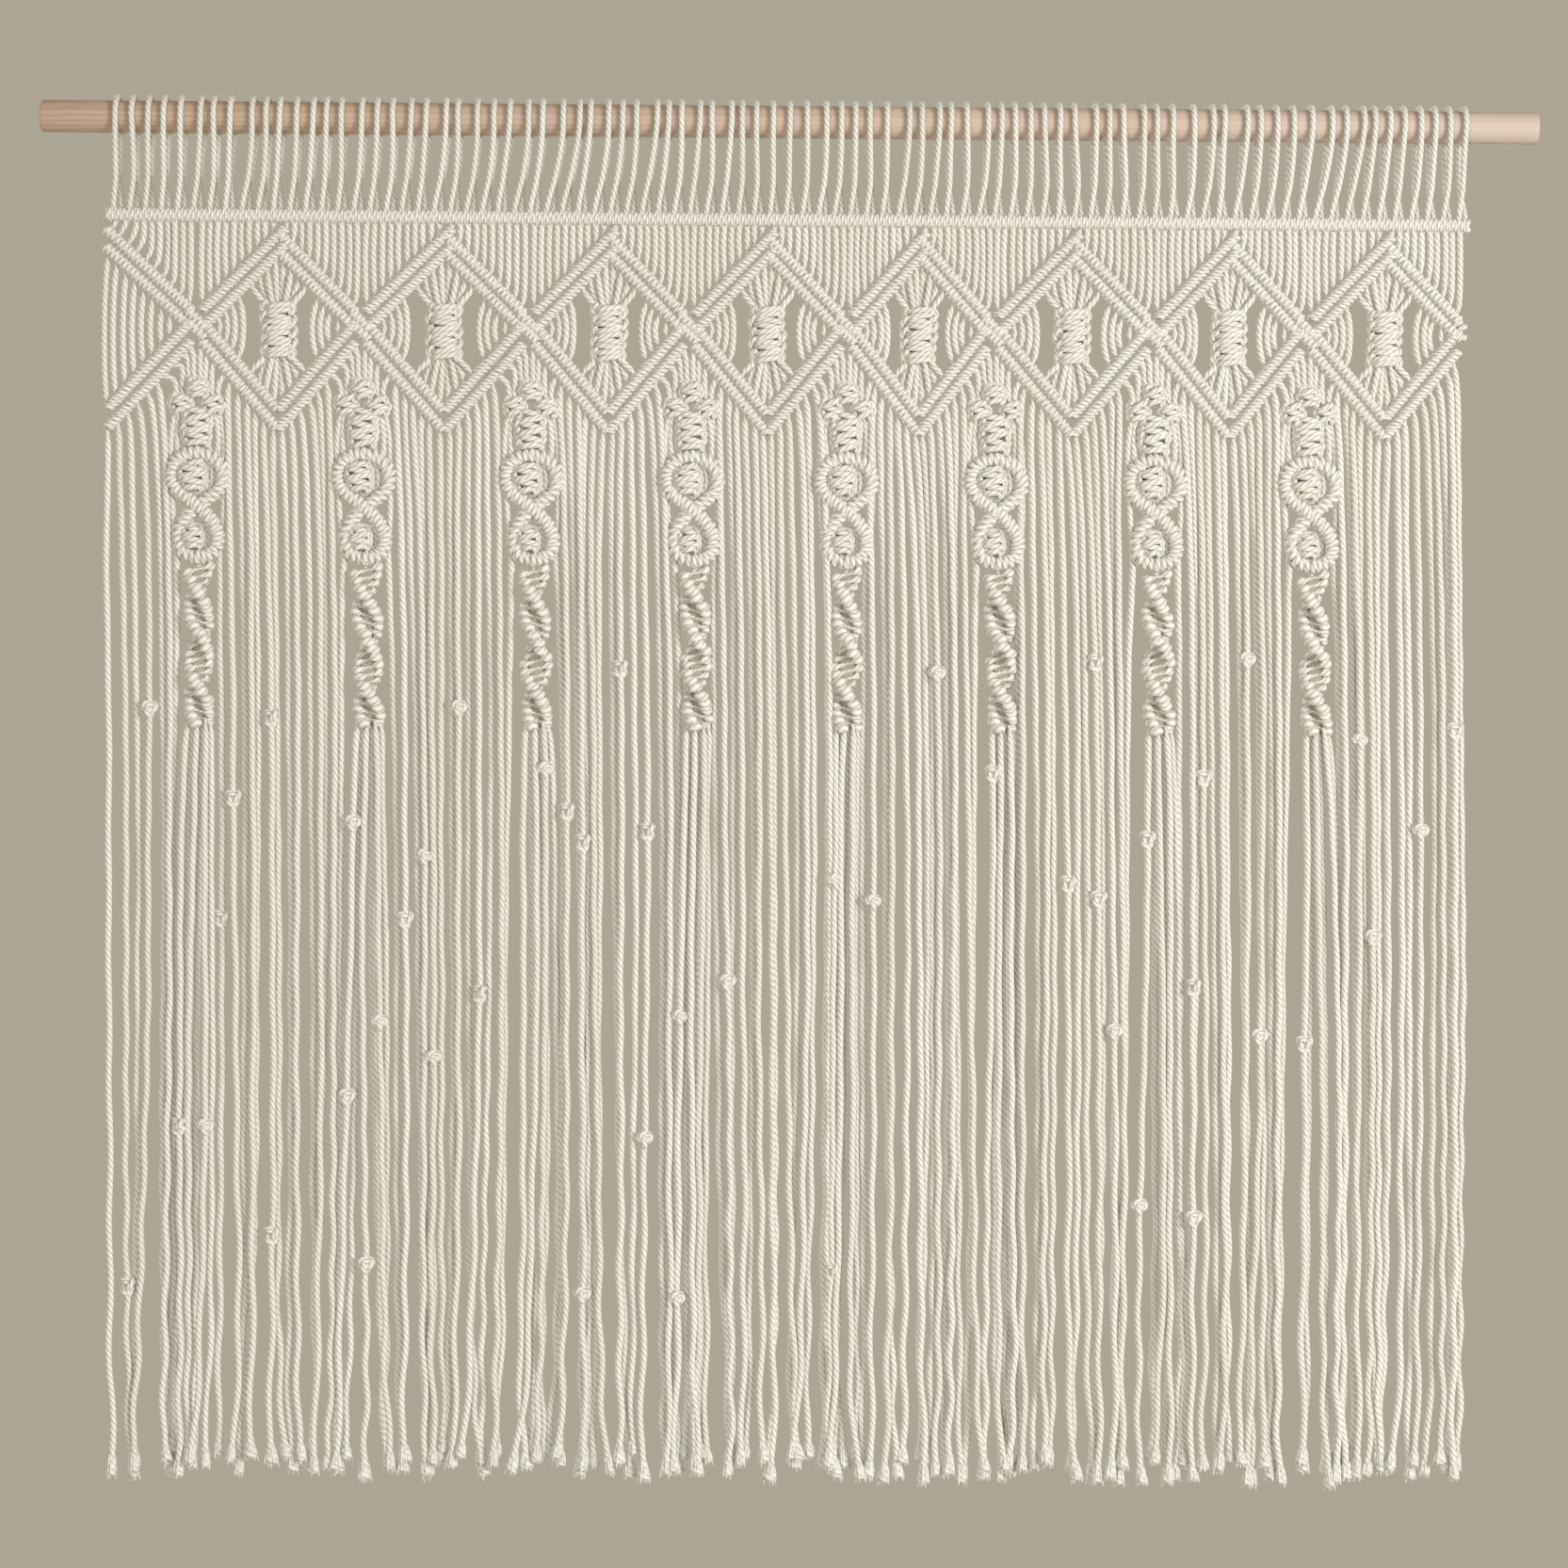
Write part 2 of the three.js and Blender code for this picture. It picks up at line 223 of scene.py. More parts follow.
class Nodes:
    """A new material, with short calls for building its node tree."""

    def __init__(self, name: str) -> None:
        """Starts the material with an empty tree and the place on the object, in metres."""
        self.material = bpy.data.materials.new(name)
        self.material.use_nodes = True
        self.tree = self.material.node_tree
        self.tree.nodes.clear()
        self.place = self.add("ShaderNodeTexCoord", {}).outputs["Object"]

    def give(self, target: Socket, value: Source) -> None:
        """Links a socket to the target, or sets a plain value on it."""
        if isinstance(value, Socket):
            self.tree.links.new(value, target)
        else:
            target.default_value = value

    def add(self, kind: str, inputs: dict[str | int, Source], **settings: object) -> bpy.types.Node:
        """Adds a node.

        Args:
            kind: the node's type.
            inputs: values or sockets for its inputs, by name or number.
            settings: the node's own properties.

        Returns:
            The node.
        """
        node = self.tree.nodes.new(kind)
        for name, value in settings.items():
            setattr(node, name, value)
        for name, value in inputs.items():
            self.give(node.inputs[name], value)
        return node

    def math(self, operation: str, *values: Source) -> Socket:
        """The result of a Math node on sockets or numbers."""
        return self.add("ShaderNodeMath", dict(enumerate(values)), operation=operation).outputs[0]

    def noise(self, vector: Source, scale: float, detail: float) -> Socket:
        """Noise from 0 to 1 on a coordinate."""
        inputs = {"Vector": vector, "Scale": scale, "Detail": detail}
        return self.add("ShaderNodeTexNoise", inputs).outputs["Fac"]

    def blend(self, share: Source, low: Source, high: Source) -> Socket:
        """A colour between low and high by a share."""
        inputs = {MIX_SHARE: share, MIX_LOW: low, MIX_HIGH: high}
        return self.add("ShaderNodeMix", inputs, data_type="RGBA").outputs[MIX_RESULT]

    def bump(self, strength: float, depth: float, height: Source) -> Socket:
        """A surface direction that follows a height from 0 to 1, as deep as given in metres."""
        inputs = {"Strength": strength, "Distance": depth, "Height": height}
        return self.add("ShaderNodeBump", inputs).outputs["Normal"]

    def surface(self, inputs: dict[str, Source], fade: Source | None = None) -> Material:
        """Ends the tree in a Principled shader.

        Args:
            inputs: the shader's inputs.
            fade: how far the surface is cleared away, from 0 to 1, if it is.

        Returns:
            The material.
        """
        shown = self.add("ShaderNodeBsdfPrincipled", inputs).outputs["BSDF"]
        if fade:
            clear = self.add("ShaderNodeBsdfTransparent", {}).outputs["BSDF"]
            shown = self.add("ShaderNodeMixShader", {0: fade, 1: shown, 2: clear}).outputs[0]
        self.add("ShaderNodeOutputMaterial", {"Surface": shown})
        return self.material


@dataclass(frozen=True)
class CottonFinish:
    """Undyed cotton cord, three plies laid together, with soft loose fibre on it."""

    name: str = "undyed_cotton"
    light: Colour = (0.84, 0.84, 0.805, 1.0)
    warm: Colour = (0.72, 0.703, 0.642, 1.0)
    # Painted shade: deep between the plies, where shade falls, the colour goes over into this one.
    painted_groove_shade: Colour = (0.38, 0.342, 0.277, 1.0)
    plies: float = 3.0
    ply_depth: float = 0.00045
    ply_strength: float = 0.9
    groove_shade_power: float = 0.55
    fuzz_scale: float = 1500.0
    fuzz_shade: float = 0.18
    fuzz_height: float = 0.55
    stain_scale: float = 9.0
    stain_warmth: float = 0.45
    tone_warmth: float = 0.6
    detail: float = 2.0
    roughness: float = 0.93
    sheen: float = 0.22
    sheen_roughness: float = 0.45
    specular: float = 0.2

    def material(self) -> Material:
        """The finish as a material.

        A ply's height over the section is |sin(pi * plies * (turn + lay))|, where the cord map's first
        number is the share of a turn round the cord and its second is the length in lays.

        Returns:
            The material.
        """
        nodes = Nodes(self.name)
        cord_map = nodes.add("ShaderNodeUVMap", {}, uv_map=CORD_MAP).outputs["UV"]
        cord = nodes.add("ShaderNodeSeparateXYZ", {"Vector": cord_map}).outputs
        tone = nodes.add("ShaderNodeAttribute", {}, attribute_name=TONE).outputs["Fac"]
        angle = nodes.math("MULTIPLY", nodes.math("ADD", cord["X"], cord["Y"]), math.pi * self.plies)
        ply = nodes.math("ABSOLUTE", nodes.math("SINE", angle))
        fuzz = nodes.noise(nodes.place, self.fuzz_scale, self.detail)
        stain = nodes.noise(nodes.place, self.stain_scale, self.detail)
        warmed = nodes.math("MULTIPLY", tone, self.tone_warmth)
        aged = nodes.math("MULTIPLY_ADD", stain, self.stain_warmth, warmed)
        # Painted shade: away from the ply crests the colour darkens into the groove colour, and the fuzz
        # mottles it.
        crest = nodes.math("POWER", ply, self.groove_shade_power)
        clear_of_groove_shade = nodes.math("MULTIPLY_ADD", fuzz, self.fuzz_shade, crest)
        height = nodes.math("MULTIPLY_ADD", fuzz, self.fuzz_height, ply)
        return nodes.surface(
            {
                "Base Color": nodes.blend(clear_of_groove_shade, self.painted_groove_shade, nodes.blend(aged, self.light, self.warm)),
                "Roughness": self.roughness,
                "Sheen Weight": self.sheen,
                "Sheen Roughness": self.sheen_roughness,
                "Specular IOR Level": self.specular,
                "Normal": nodes.bump(self.ply_strength, self.ply_depth, height),
            }
        )


@dataclass(frozen=True)
class WoodFinish:
    """Pale sanded wood with grain along the rod and rings on its ends."""

    name: str = "pale_rod_wood"
    early: Colour = (0.50, 0.36, 0.25, 1.0)
    late: Colour = (0.33, 0.205, 0.13, 1.0)
    pale: Colour = (0.60, 0.515, 0.445, 1.0)
    heart: Place = (0.0, 0.031, -0.042)
    ring_stretch: Place = (0.25, 1.0, 1.0)
    ring_scale: float = 95.0
    ring_distortion: float = 5.0
    ring_detail: float = 2.0
    ring_detail_scale: float = 0.5
    ring_share: float = 0.5
    fibre_stretch: Place = (14.0, 900.0, 900.0)
    fibre_detail: float = 3.0
    fibre_share: float = 0.45
    fibre_depth: float = 0.0003
    fibre_strength: float = 0.35
    cloud_scale: float = 11.0
    cloud_detail: float = 2.0
    cloud_share: float = 0.4
    painted_light_middle: float = 0.3
    painted_light_slope: float = 0.6
    roughness: float = 0.58
    specular: float = 0.35

    def material(self) -> Material:
        """The finish as a material: growth rings about a heart beside the rod, cut by its surface.

        The wood is painted paler towards the right end: light painted into its colour along X, under a
        cloud of uneven tone.

        Returns:
            The material.
        """
        nodes = Nodes(self.name)
        moved = {"Vector": nodes.place, "Location": self.heart, "Scale": self.ring_stretch}
        ring_inputs = {
            "Vector": nodes.add("ShaderNodeMapping", moved).outputs["Vector"],
            "Scale": self.ring_scale,
            "Distortion": self.ring_distortion,
            "Detail": self.ring_detail,
            "Detail Scale": self.ring_detail_scale,
        }
        ringed = nodes.add("ShaderNodeTexWave", ring_inputs, wave_type="RINGS", rings_direction="X")
        rings = nodes.math("MULTIPLY", ringed.outputs["Fac"], self.ring_share)
        drawn = nodes.add("ShaderNodeMapping", {"Vector": nodes.place, "Scale": self.fibre_stretch})
        fibre = nodes.noise(drawn.outputs["Vector"], 1.0, self.fibre_detail)
        grain = nodes.math("MULTIPLY_ADD", fibre, self.fibre_share, rings)
        along = nodes.add("ShaderNodeSeparateXYZ", {"Vector": nodes.place}).outputs["X"]
        cloud = nodes.noise(nodes.place, self.cloud_scale, self.cloud_detail)
        # Painted light: the colour goes towards the pale colour along X, lighter at the right end, and the
        # cloud adds uneven tone.
        light = nodes.math("MULTIPLY_ADD", along, self.painted_light_slope, self.painted_light_middle)
        cloud_and_painted_light = nodes.math("MULTIPLY_ADD", cloud, self.cloud_share, light)
        return nodes.surface(
            {
                "Base Color": nodes.blend(cloud_and_painted_light, nodes.blend(grain, self.early, self.late), self.pale),
                "Roughness": self.roughness,
                "Specular IOR Level": self.specular,
                "Normal": nodes.bump(self.fibre_strength, self.fibre_depth, fibre),
            }
        )


@dataclass(frozen=True)
class FloorFinish:
    """Pale matt floor that fades out far from the curtain."""

    name: str = "pale_floor"
    light: Colour = (0.62, 0.575, 0.51, 1.0)
    dark: Colour = (0.58, 0.535, 0.47, 1.0)
    cloud_scale: float = 2.0
    cloud_detail: float = 3.0
    fade_from: float = 1.2
    fade_to: float = 4.5
    roughness: float = 0.9

    def material(self) -> Material:
        """The finish as a material: faintly cloudy, and cleared by the distance from the middle."""
        nodes = Nodes(self.name)
        cloud = nodes.noise(nodes.place, self.cloud_scale, self.cloud_detail)
        far = nodes.add("ShaderNodeVectorMath", {0: nodes.place}, operation="LENGTH").outputs["Value"]
        limits = {"Value": far, "From Min": self.fade_from, "From Max": self.fade_to}
        fade = nodes.add("ShaderNodeMapRange", limits, interpolation_type="SMOOTHSTEP").outputs["Result"]
        colour = nodes.blend(cloud, self.light, self.dark)
        return nodes.surface({"Base Color": colour, "Roughness": self.roughness}, fade)


# Meshes


def finished(name: str, mesh: Mesh, material: Material) -> Piece:
    """An object at the origin that shows a smooth mesh in one material.

    Args:
        name: the object's name.
        mesh: its mesh.
        material: its finish.

    Returns:
        The object, linked to the scene.
    """
    mesh.materials.append(material)
    mesh.shade_smooth()
    made = bpy.data.objects.new(name, mesh)
    bpy.context.scene.collection.objects.link(made)
    return made


def store(items: bpy.types.bpy_prop_collection, name: str, arrays: list[Array], kind: type) -> None:
    """Writes arrays, one after another, as a named value of a mesh's items."""
    items.foreach_set(name, np.concatenate([array.ravel() for array in arrays]).astype(kind))


@dataclass
class CordWork:
    """Lengths of cord that are gathered and then made one piece."""

    name: str
    lay_length: float = 13.0
    corners: list[Array] = field(default_factory=list)
    tones: list[Array] = field(default_factory=list)
    faces: list[Array] = field(default_factory=list)
    maps: list[Array] = field(default_factory=list)
    count: int = 0

    def lay(
        self,
        paths: Array,
        radius: float | Array,
        facing: Array,
        sides: int = 6,
        closed: bool = False,
        tone: float | Array = 0.5,
        held: float | None = None,
    ) -> None:
        """Carries a round section along each path.

        A corner is path + radius (cos a F + sin a S): F is the facing direction made square to the path,
        and S is the path's direction crossed with F. Open ends are closed by one face each.

        Args:
            paths: centre lines, (cords, stations, 3).
            radius: spread to (cords, stations).
            facing: spread to (cords, stations, 3).
            sides: corners of the section.
            closed: whether each path runs back into its start.
            tone: warmth of each cord from 0 to 1, spread to (cords,).
            held: one place on the cord map for all of the cord, if it shows no plies.
        """
        cords, stations, _ = paths.shape
        ahead = np.roll(paths, -1, 1) - np.roll(paths, 1, 1) if closed else np.gradient(paths, axis=1)
        along = unit(ahead)
        towards = np.broadcast_to(facing, paths.shape)
        face = unit(towards - (towards * along).sum(-1, keepdims=True) * along)
        side = np.cross(along, face)
        turn = np.arange(sides) / sides
        angle = 2 * np.pi * turn[:, None]
        spoke = np.cos(angle) * face[:, :, None] + np.sin(angle) * side[:, :, None]
        thick = np.broadcast_to(radius, (cords, stations))[:, :, None, None]
        self.corners.append((paths[:, :, None] + thick * spoke).reshape(-1, 3))
        self.tones.append(np.repeat(np.broadcast_to(tone, (cords,)), stations * sides))

        index = self.count + np.arange(cords * stations * sides).reshape(cords, stations, sides)
        step = np.linalg.norm(np.diff(paths, axis=1, append=paths[:, :1]), axis=-1)
        length = np.concatenate([np.zeros((cords, 1)), np.cumsum(step, 1)], axis=1) / self.lay_length
        spans = stations if closed else stations - 1
        near, far = index[:, :spans], np.roll(index, -1, 1)[:, :spans]
        quads = np.stack([near, np.roll(near, -1, 2), np.roll(far, -1, 2), far], axis=-1)
        shape = (cords, spans, sides)
        start = np.broadcast_to(length[:, :spans, None], shape)
        end = np.broadcast_to(length[:, 1 : spans + 1, None], shape)
        low = np.broadcast_to(turn, shape)
        high = low + 1 / sides
        across = np.stack([low, high, high, low], axis=-1)
        down = np.stack([start, start, end, end], axis=-1)
        laid = np.stack([across, down], axis=-1).reshape(-1, 4, 2)
        self.faces.append(quads.reshape(-1, 4))
        self.maps.append(laid if held is None else np.full_like(laid, held))
        if not closed:
            caps = np.concatenate([index[:, 0, ::-1], index[:, -1]])
            self.faces.append(caps)
            self.maps.append(np.full((*caps.shape, 2), CREST))
        self.count += cords * stations * sides

    def mesh(self) -> Mesh:
        """All that was laid, as one mesh in metres with the cord map and the tone of each cord."""
        sizes = np.concatenate([np.full(len(faces), faces.shape[1]) for faces in self.faces])
        made = bpy.data.meshes.new(self.name)
        made.vertices.add(self.count)
        made.loops.add(int(sizes.sum()))
        made.polygons.add(len(sizes))
        store(made.vertices, "co", [corners * MM for corners in self.corners], np.float32)
        store(made.loops, "vertex_index", self.faces, np.int32)
        store(made.polygons, "loop_start", [np.cumsum(sizes) - sizes], np.int32)
        made.update(calc_edges=True)
        store(made.uv_layers.new(name=CORD_MAP).uv, "vector", self.maps, np.float32)
        store(made.attributes.new(TONE, "FLOAT", "POINT").data, "value", self.tones, np.float32)
        return made

    def piece(self, material: Material, slot: Slot, node: str) -> Piece:
        """All that was laid as a finished piece, which rides on the curtain's body in place of a solid.

        Args:
            material: its finish.
            slot: the record's slot for the finish; not used.
            node: the solid that it stands for.

        Returns:
            The piece.
        """
        piece = finished(self.name, self.mesh(), material)
        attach(piece, BODY)
        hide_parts(node)
        triangles = sum(len(faces) * (faces.shape[1] - 2) for faces in self.faces)
        log.info("%s stands for %s with %d triangles", piece.name, node, triangles)
        return piece


# Ways of tying


@dataclass(frozen=True)
class Row:
    """A row of double half hitches: cord wound round a carrier line.

    Across and depth are the winding's radii in the curtain's plane and towards the front. Slip and swell
    say how unevenly it lies, as shares of the pitch and of the radii.
    """

    pitch: float = 3.3
    across: float = 2.2
    depth: float = 3.1
    radius: float = 1.86
    forward: float = 0.9
    starts: int = 1
    per_turn: int = 7
    sides: int = 6
    slip: float = 0.1
    swell: float = 0.07
    tone: Varied = Varied(0.35, 0.2)

    def wound(self, line: Array, hand: int, seed: int) -> tuple[Array, Array]:
        """Winds helices round a line in the curtain's plane.

        A point is line + depth cos(a) F + across sin(a) S, where F points to the front, S lies in the
        plane square to the line, and a makes one turn for each pitch and start. Both ends lie behind it.

        Args:
            line: the carrier's points, (points, 3).
            hand: 1 or -1, the way of winding.
            seed: of the unevenness.

        Returns:
            The paths, (starts, stations, 3), and their outward directions.
        """
        lengths = np.concatenate([[0.0], np.cumsum(np.linalg.norm(np.diff(line, axis=0), axis=1))])
        turns = max(2, round(lengths[-1] / (self.pitch * self.starts)))
        share = np.linspace(0.0, 1.0, turns * self.per_turn + 1)
        slack = np.interp(share * turns, np.arange(turns + 1), uneven(seed, turns + 1))
        where = share * lengths[-1] + self.slip * self.pitch * slack
        centre = np.stack([np.interp(where, lengths, line[:, i]) for i in range(3)], axis=-1)
        side = unit(np.cross(unit(np.gradient(centre, axis=0)), FRONT))
        start = np.arange(self.starts)[:, None, None] / self.starts
        angle = 2 * np.pi * hand * (turns * share[:, None] + start + 0.5)
        outward = np.cos(angle) * FRONT * self.depth + np.sin(angle) * side * self.across
        return centre + (1 + self.swell * slack[:, None]) * outward, outward

    def tie(self, work: CordWork, line: Array, hand: int, seed: int) -> None:
        """Ties a row along a line.

        Args:
            work: what takes the cord.
            line: the row's middle, (points, 3).
            hand: 1 or -1, the way of winding.
            seed: of the unevenness.
        """
        paths, outward = self.wound(line + self.forward * FRONT, hand, seed)
        tone = self.tone.by(uneven(seed, self.starts))
        work.lay(paths, self.radius, outward, self.sides, tone=tone)

    def run(self, work: CordWork, start: Spot, end: Spot, hand: int, seed: int) -> None:
        """Ties a straight row between two spots, (x, z) each."""
        self.tie(work, np.array([[start[0], 0.0, start[1]], [end[0], 0.0, end[1]]]), hand, seed)


def bands(
    centres: Array,
    half_width: Array | float,
    half_depth: Array | float,
    rise: Array | float,
    turn: Array | float,
    waist: float = 0.0,
) -> tuple[Array, Array]:
    """Closed bands of cord round upright cores, flattened before and behind and higher at one side.

    A point is (half width c, half depth s, rise cos a) turned about the core, where c and s are the cosine
    and sine of a raised to the band power, and s is drawn in by the waist times 1 - c^2.

    Args:
        centres: middles of the bands, (bands, 3).
        half_width: spread to (bands,), as are the next three.
        half_depth: reach to the front and the back.
        rise: how far the right end lies above the middle.
        turn: angle about the core.
        waist: share by which the bands are drawn in at the middle.

    Returns:
        The closed paths, (bands, stations, 3), and their outward directions.
    """
    sizes = (half_width, half_depth, rise, turn)
    width, depth, height, swing = (np.broadcast_to(size, (len(centres),))[:, None] for size in sizes)
    cosine, sine = np.cos(BAND_ANGLES), np.sin(BAND_ANGLES)
    c = np.sign(cosine) * np.abs(cosine) ** BAND_POWER
    s = np.sign(sine) * np.abs(sine) ** BAND_POWER * (1 - waist * (1 - c**2))
    local = turned(width * c, depth * s, height * cosine, swing)
    return centres[:, None] + local, turned(cosine, sine, 0.0, swing)


@dataclass(frozen=True)
class FlatKnot:
    """A short sennit of square knots: bands of cord across the cores, with ears at both sides.

    The crown is how far its middle stands forward of its ends, and the taper the share by which its ends
    narrow. The looseness times shaken is how far bands lie off their places. A twin's step is in cord
    radii. An ear's reach and inset are lengths, and its other sizes are shares of the knot's.
    """

    half_width: float
    half_depth: float
    pitch: float
    rows: int
    doubled: int = 1
    twin_step: float = 1.75
    radius: float = 1.75
    sides: int = 8
    rise: float = 0.9
    crown: float = 0.0
    taper: float = 0.0
    loose: float = 0.5
    shaken: Place = (0.8, 0.6, 0.5)
    width: Varied = Varied(1.0, 0.14)
    tone: Varied = Varied(0.5, 0.4)
    ear: float = 1.6
    ear_inset: float = 0.4
    ear_depth: float = 0.55
    ear_height: float = 0.52
    ear_crown: float = 0.6
    ear_odd: float = 0.5
    ear_radius: float = 0.95
    ear_stations: int = 7
    ear_tone: float = 0.45

    def tie(self, work: CordWork, centres: Array, seed: int) -> None:
        """Ties the knot at each centre.

        A band's width and place forward follow its height u, from -1 to 1, as 1 - taper u^2 and
        crown (1 - u^2). An ear is half an ellipse beside the bands, x = half width + ear cos a and
        z = about half the pitch times sin a, while its depth goes from before the cores to behind them.

        Args:
            work: what takes the cords.
            centres: (knots, 3).
            seed: of the unevenness.
        """
        knots = len(centres)
        level = np.linspace(-1.0, 1.0, self.rows)
        height = (0.5 * (self.rows - 1) * self.pitch * level)[:, None]
        half = (self.half_width * (1 - self.taper * level**2))[:, None]
        proud = (self.crown * (1 - level**2))[:, None]
        twin = (np.arange(self.doubled) - (self.doubled - 1) / 2) * self.twin_step * self.radius
        slack = self.loose * uneven(seed, knots, self.rows, self.doubled, 3)
        drop = points(0.0, -proud, height + twin) + slack * np.array(self.shaken)
        middles = (centres[:, None, None] + drop).reshape(-1, 3)
        tilt = self.rise * (-1.0) ** np.arange(self.rows)[:, None] * (1 + slack[..., 0])
        wide = half * self.width.by(slack[..., 1])
        paths, outward = bands(middles, wide.ravel(), self.half_depth, tilt.ravel(), 0.0)
        tone = self.tone.by(slack[..., 2].ravel())
        work.lay(paths, self.radius, outward, self.sides, closed=True, tone=tone)

        angle = np.linspace(-0.5 * np.pi, 0.5 * np.pi, self.ear_stations)
        hand = np.array(HANDS)[:, None, None]
        odd = 1 + self.ear_odd * self.loose * uneven(seed + 1, knots, 2, self.rows, 1)
        x = hand * (half - self.ear_inset + self.ear * odd * np.cos(angle))
        y = self.ear_depth * self.half_depth * np.sin(angle) * hand - self.ear_crown * proud
        z = height + self.ear_height * self.pitch * odd * np.sin(angle)
        ears = centres[:, None, None, None] + points(x, y, z)
        away = np.broadcast_to(points(hand, 0.0, 0.0), ears.shape)
        shape = (-1, self.ear_stations, 3)
        ear_radius = self.ear_radius * self.radius
        work.lay(ears.reshape(shape), ear_radius, away.reshape(shape), self.sides, tone=self.ear_tone)


@dataclass(frozen=True)
class SmallKnot:
    """An overhand knot, drawn tight on one hanging cord."""

    scale: float = 1.5
    depth: float = 1.3
    height: float = 1.15
    radius: float = 2.15
    swing: float = 0.3
    stations: int = 24
    tone: float = 0.35

    def tie(self, work: CordWork, centres: Array, seed: int) -> None:
        """Ties a trefoil at each centre, turned at random.

        It is (sin t + 2 sin 2t, -depth sin 3t, height (cos t - 2 cos 2t)) times the scale.

        Args:
            work: what takes the cords.
            centres: (knots, 3).
            seed: of the turns.
        """
        t = np.linspace(0, 2 * np.pi, self.stations, endpoint=False)
        swing = self.swing * np.pi * uneven(seed, len(centres), 1)
        x = np.sin(t) + 2 * np.sin(2 * t)
        y = -self.depth * np.sin(3 * t)
        z = self.height * (np.cos(t) - 2 * np.cos(2 * t))
        local = turned(x, y, z, swing)
        work.lay(centres[:, None] + self.scale * local, self.radius, local, closed=True, tone=self.tone)


# The curtain's plan


@dataclass(frozen=True)
class Side:
    """One side of a diamond, from the crossing, where its cords are counted from, to the peak."""

    index: int
    peak: float
    crossing: float
    bay: int

    @property
    def inward(self) -> float:
        """1 where the diamond lies to the right of the crossing, else -1."""
        return math.copysign(1.0, self.peak - self.crossing)


@dataclass(frozen=True)
class Plan:
    """Where the rows, cords and knots lie.

    It is the plan of the solids, but for the lower zigzag, which hangs a little lower here, and the cords
    at the left edge, which spread a little wider.
    """

    cord: float = 4.0
    header_z: float = -64.5
    peak_z: float = -76.5
    fall: float = 54.5
    row_drop: float = 11.4
    row_stop: float = 3.5
    lower_fall: float = 61.4
    lower_drop: float = 12.7
    hem_z: float = -884.0
    hem_uneven: float = 7.0
    left_edge: float = -447.0
    edge_spread: float = 1.06
    crossings: tuple[float, ...] = (-389.0, -281.0, -170.5, -65.0, 38.5, 134.5, 240.0, 341.0, 444.5)
    cords_per_side: int = 10
    column_cords: int = 4
    column_reach: float = 22.0
    first_side_cord: int = 2
    first_fan_cord: int = 6

    @property
    def peaks(self) -> tuple[float, ...]:
        """The left edge, and the middles between the crossings."""
        pairs = zip(self.crossings, self.crossings[1:])
        return (self.left_edge, *((a + b) / 2 for a, b in pairs))

    @property
    def crossing_z(self) -> float:
        """Height of the upper zigzag's first row at a crossing."""
        return self.peak_z - self.fall

    @property
    def middle_z(self) -> float:
        """Height of the diamonds' middles."""
        return self.crossing_z - self.row_drop / 2

    @property
    def column_z(self) -> float:
        """Height from which a column is measured down: of the upper zigzag's second row at a crossing."""
        return self.crossing_z - self.row_drop

    def sides(self, bay: int | None = None) -> list[Side]:
        """The sides from left to right, of one bay or of all."""
        found = []
        for k, crossing in enumerate(self.crossings):
            found.append(Side(2 * k, self.peaks[k], crossing, k))
            if k + 1 < len(self.peaks):
                found.append(Side(2 * k + 1, self.peaks[k + 1], crossing, k + 1))
        return [side for side in found if bay in (None, side.bay)]

    def cord_x(self, side: Side, ranks: Array) -> Array:
        """Where a side's cords are tied; rank 0 is next to the crossing."""
        spread = 1.0 if side.bay else self.edge_spread
        return side.crossing + spread * (ranks + 0.5) / self.cords_per_side * (side.peak - side.crossing)

    def upper(self, side: Side, x: Array) -> Array:
        """Height of the upper zigzag's first row at x."""
        return self.peak_z - self.fall * np.abs(x - side.peak) / abs(side.crossing - side.peak)

    def lower(self, side: Side, x: Array) -> Array:
        """Height of the lower zigzag's first row at x."""
        share = np.abs(x - side.crossing) / abs(side.peak - side.crossing)
        return self.crossing_z - self.lower_fall * share

    def stopped(self, side: Side, z: float, slope: float) -> Spot:
        """Where a row ends, short of its crossing at height z, on a side that climbs or falls by slope."""
        return side.crossing + side.inward * self.row_stop, z + slope * self.row_stop

    def lower_row(self, side: Side, drop: float) -> tuple[Spot, Spot]:
        """Both ends of a lower row on one side: beside the crossing and at the diamond's lower tip."""
        top = self.crossing_z - drop
        return self.stopped(side, top, -1.0), (side.peak, top - self.lower_fall)


PLAN = Plan()


# Sub-assemblies


@dataclass
class Rod:
    """The rod: a plain dowel with eased ends."""

    length: float = 984.0
    radius: float = 10.5
    ease: float = 1.2
    sides: int = 48
    end_stations: int = 6
    run_stations: int = 58
    finish: WoodFinish = WoodFinish()

    def build(self) -> Piece:
        """Turns the rod's outline about its axis: radius by place along X, closed at both ends.

        Returns:
            The piece.
        """
        half = self.length / 2
        bend = np.linspace(0.0, 0.5 * np.pi, self.end_stations)
        run = np.linspace(-half + 2 * self.ease, half - 2 * self.ease, self.run_stations)
        end = half - self.ease * (1 - np.sin(bend))
        eased = self.radius - self.ease * (1 - np.cos(bend))
        x = np.concatenate([-end[::-1], run, end])
        radius = np.concatenate([eased[::-1], np.full(len(run), self.radius), eased])
        work = CordWork("wooden_rod")
        work.lay(points(x, 0.0, 0.0)[None], radius, np.array([0.0, 0.0, 1.0]), self.sides)
        return work.piece(self.finish.material(), Slot.WOOD, "rod")


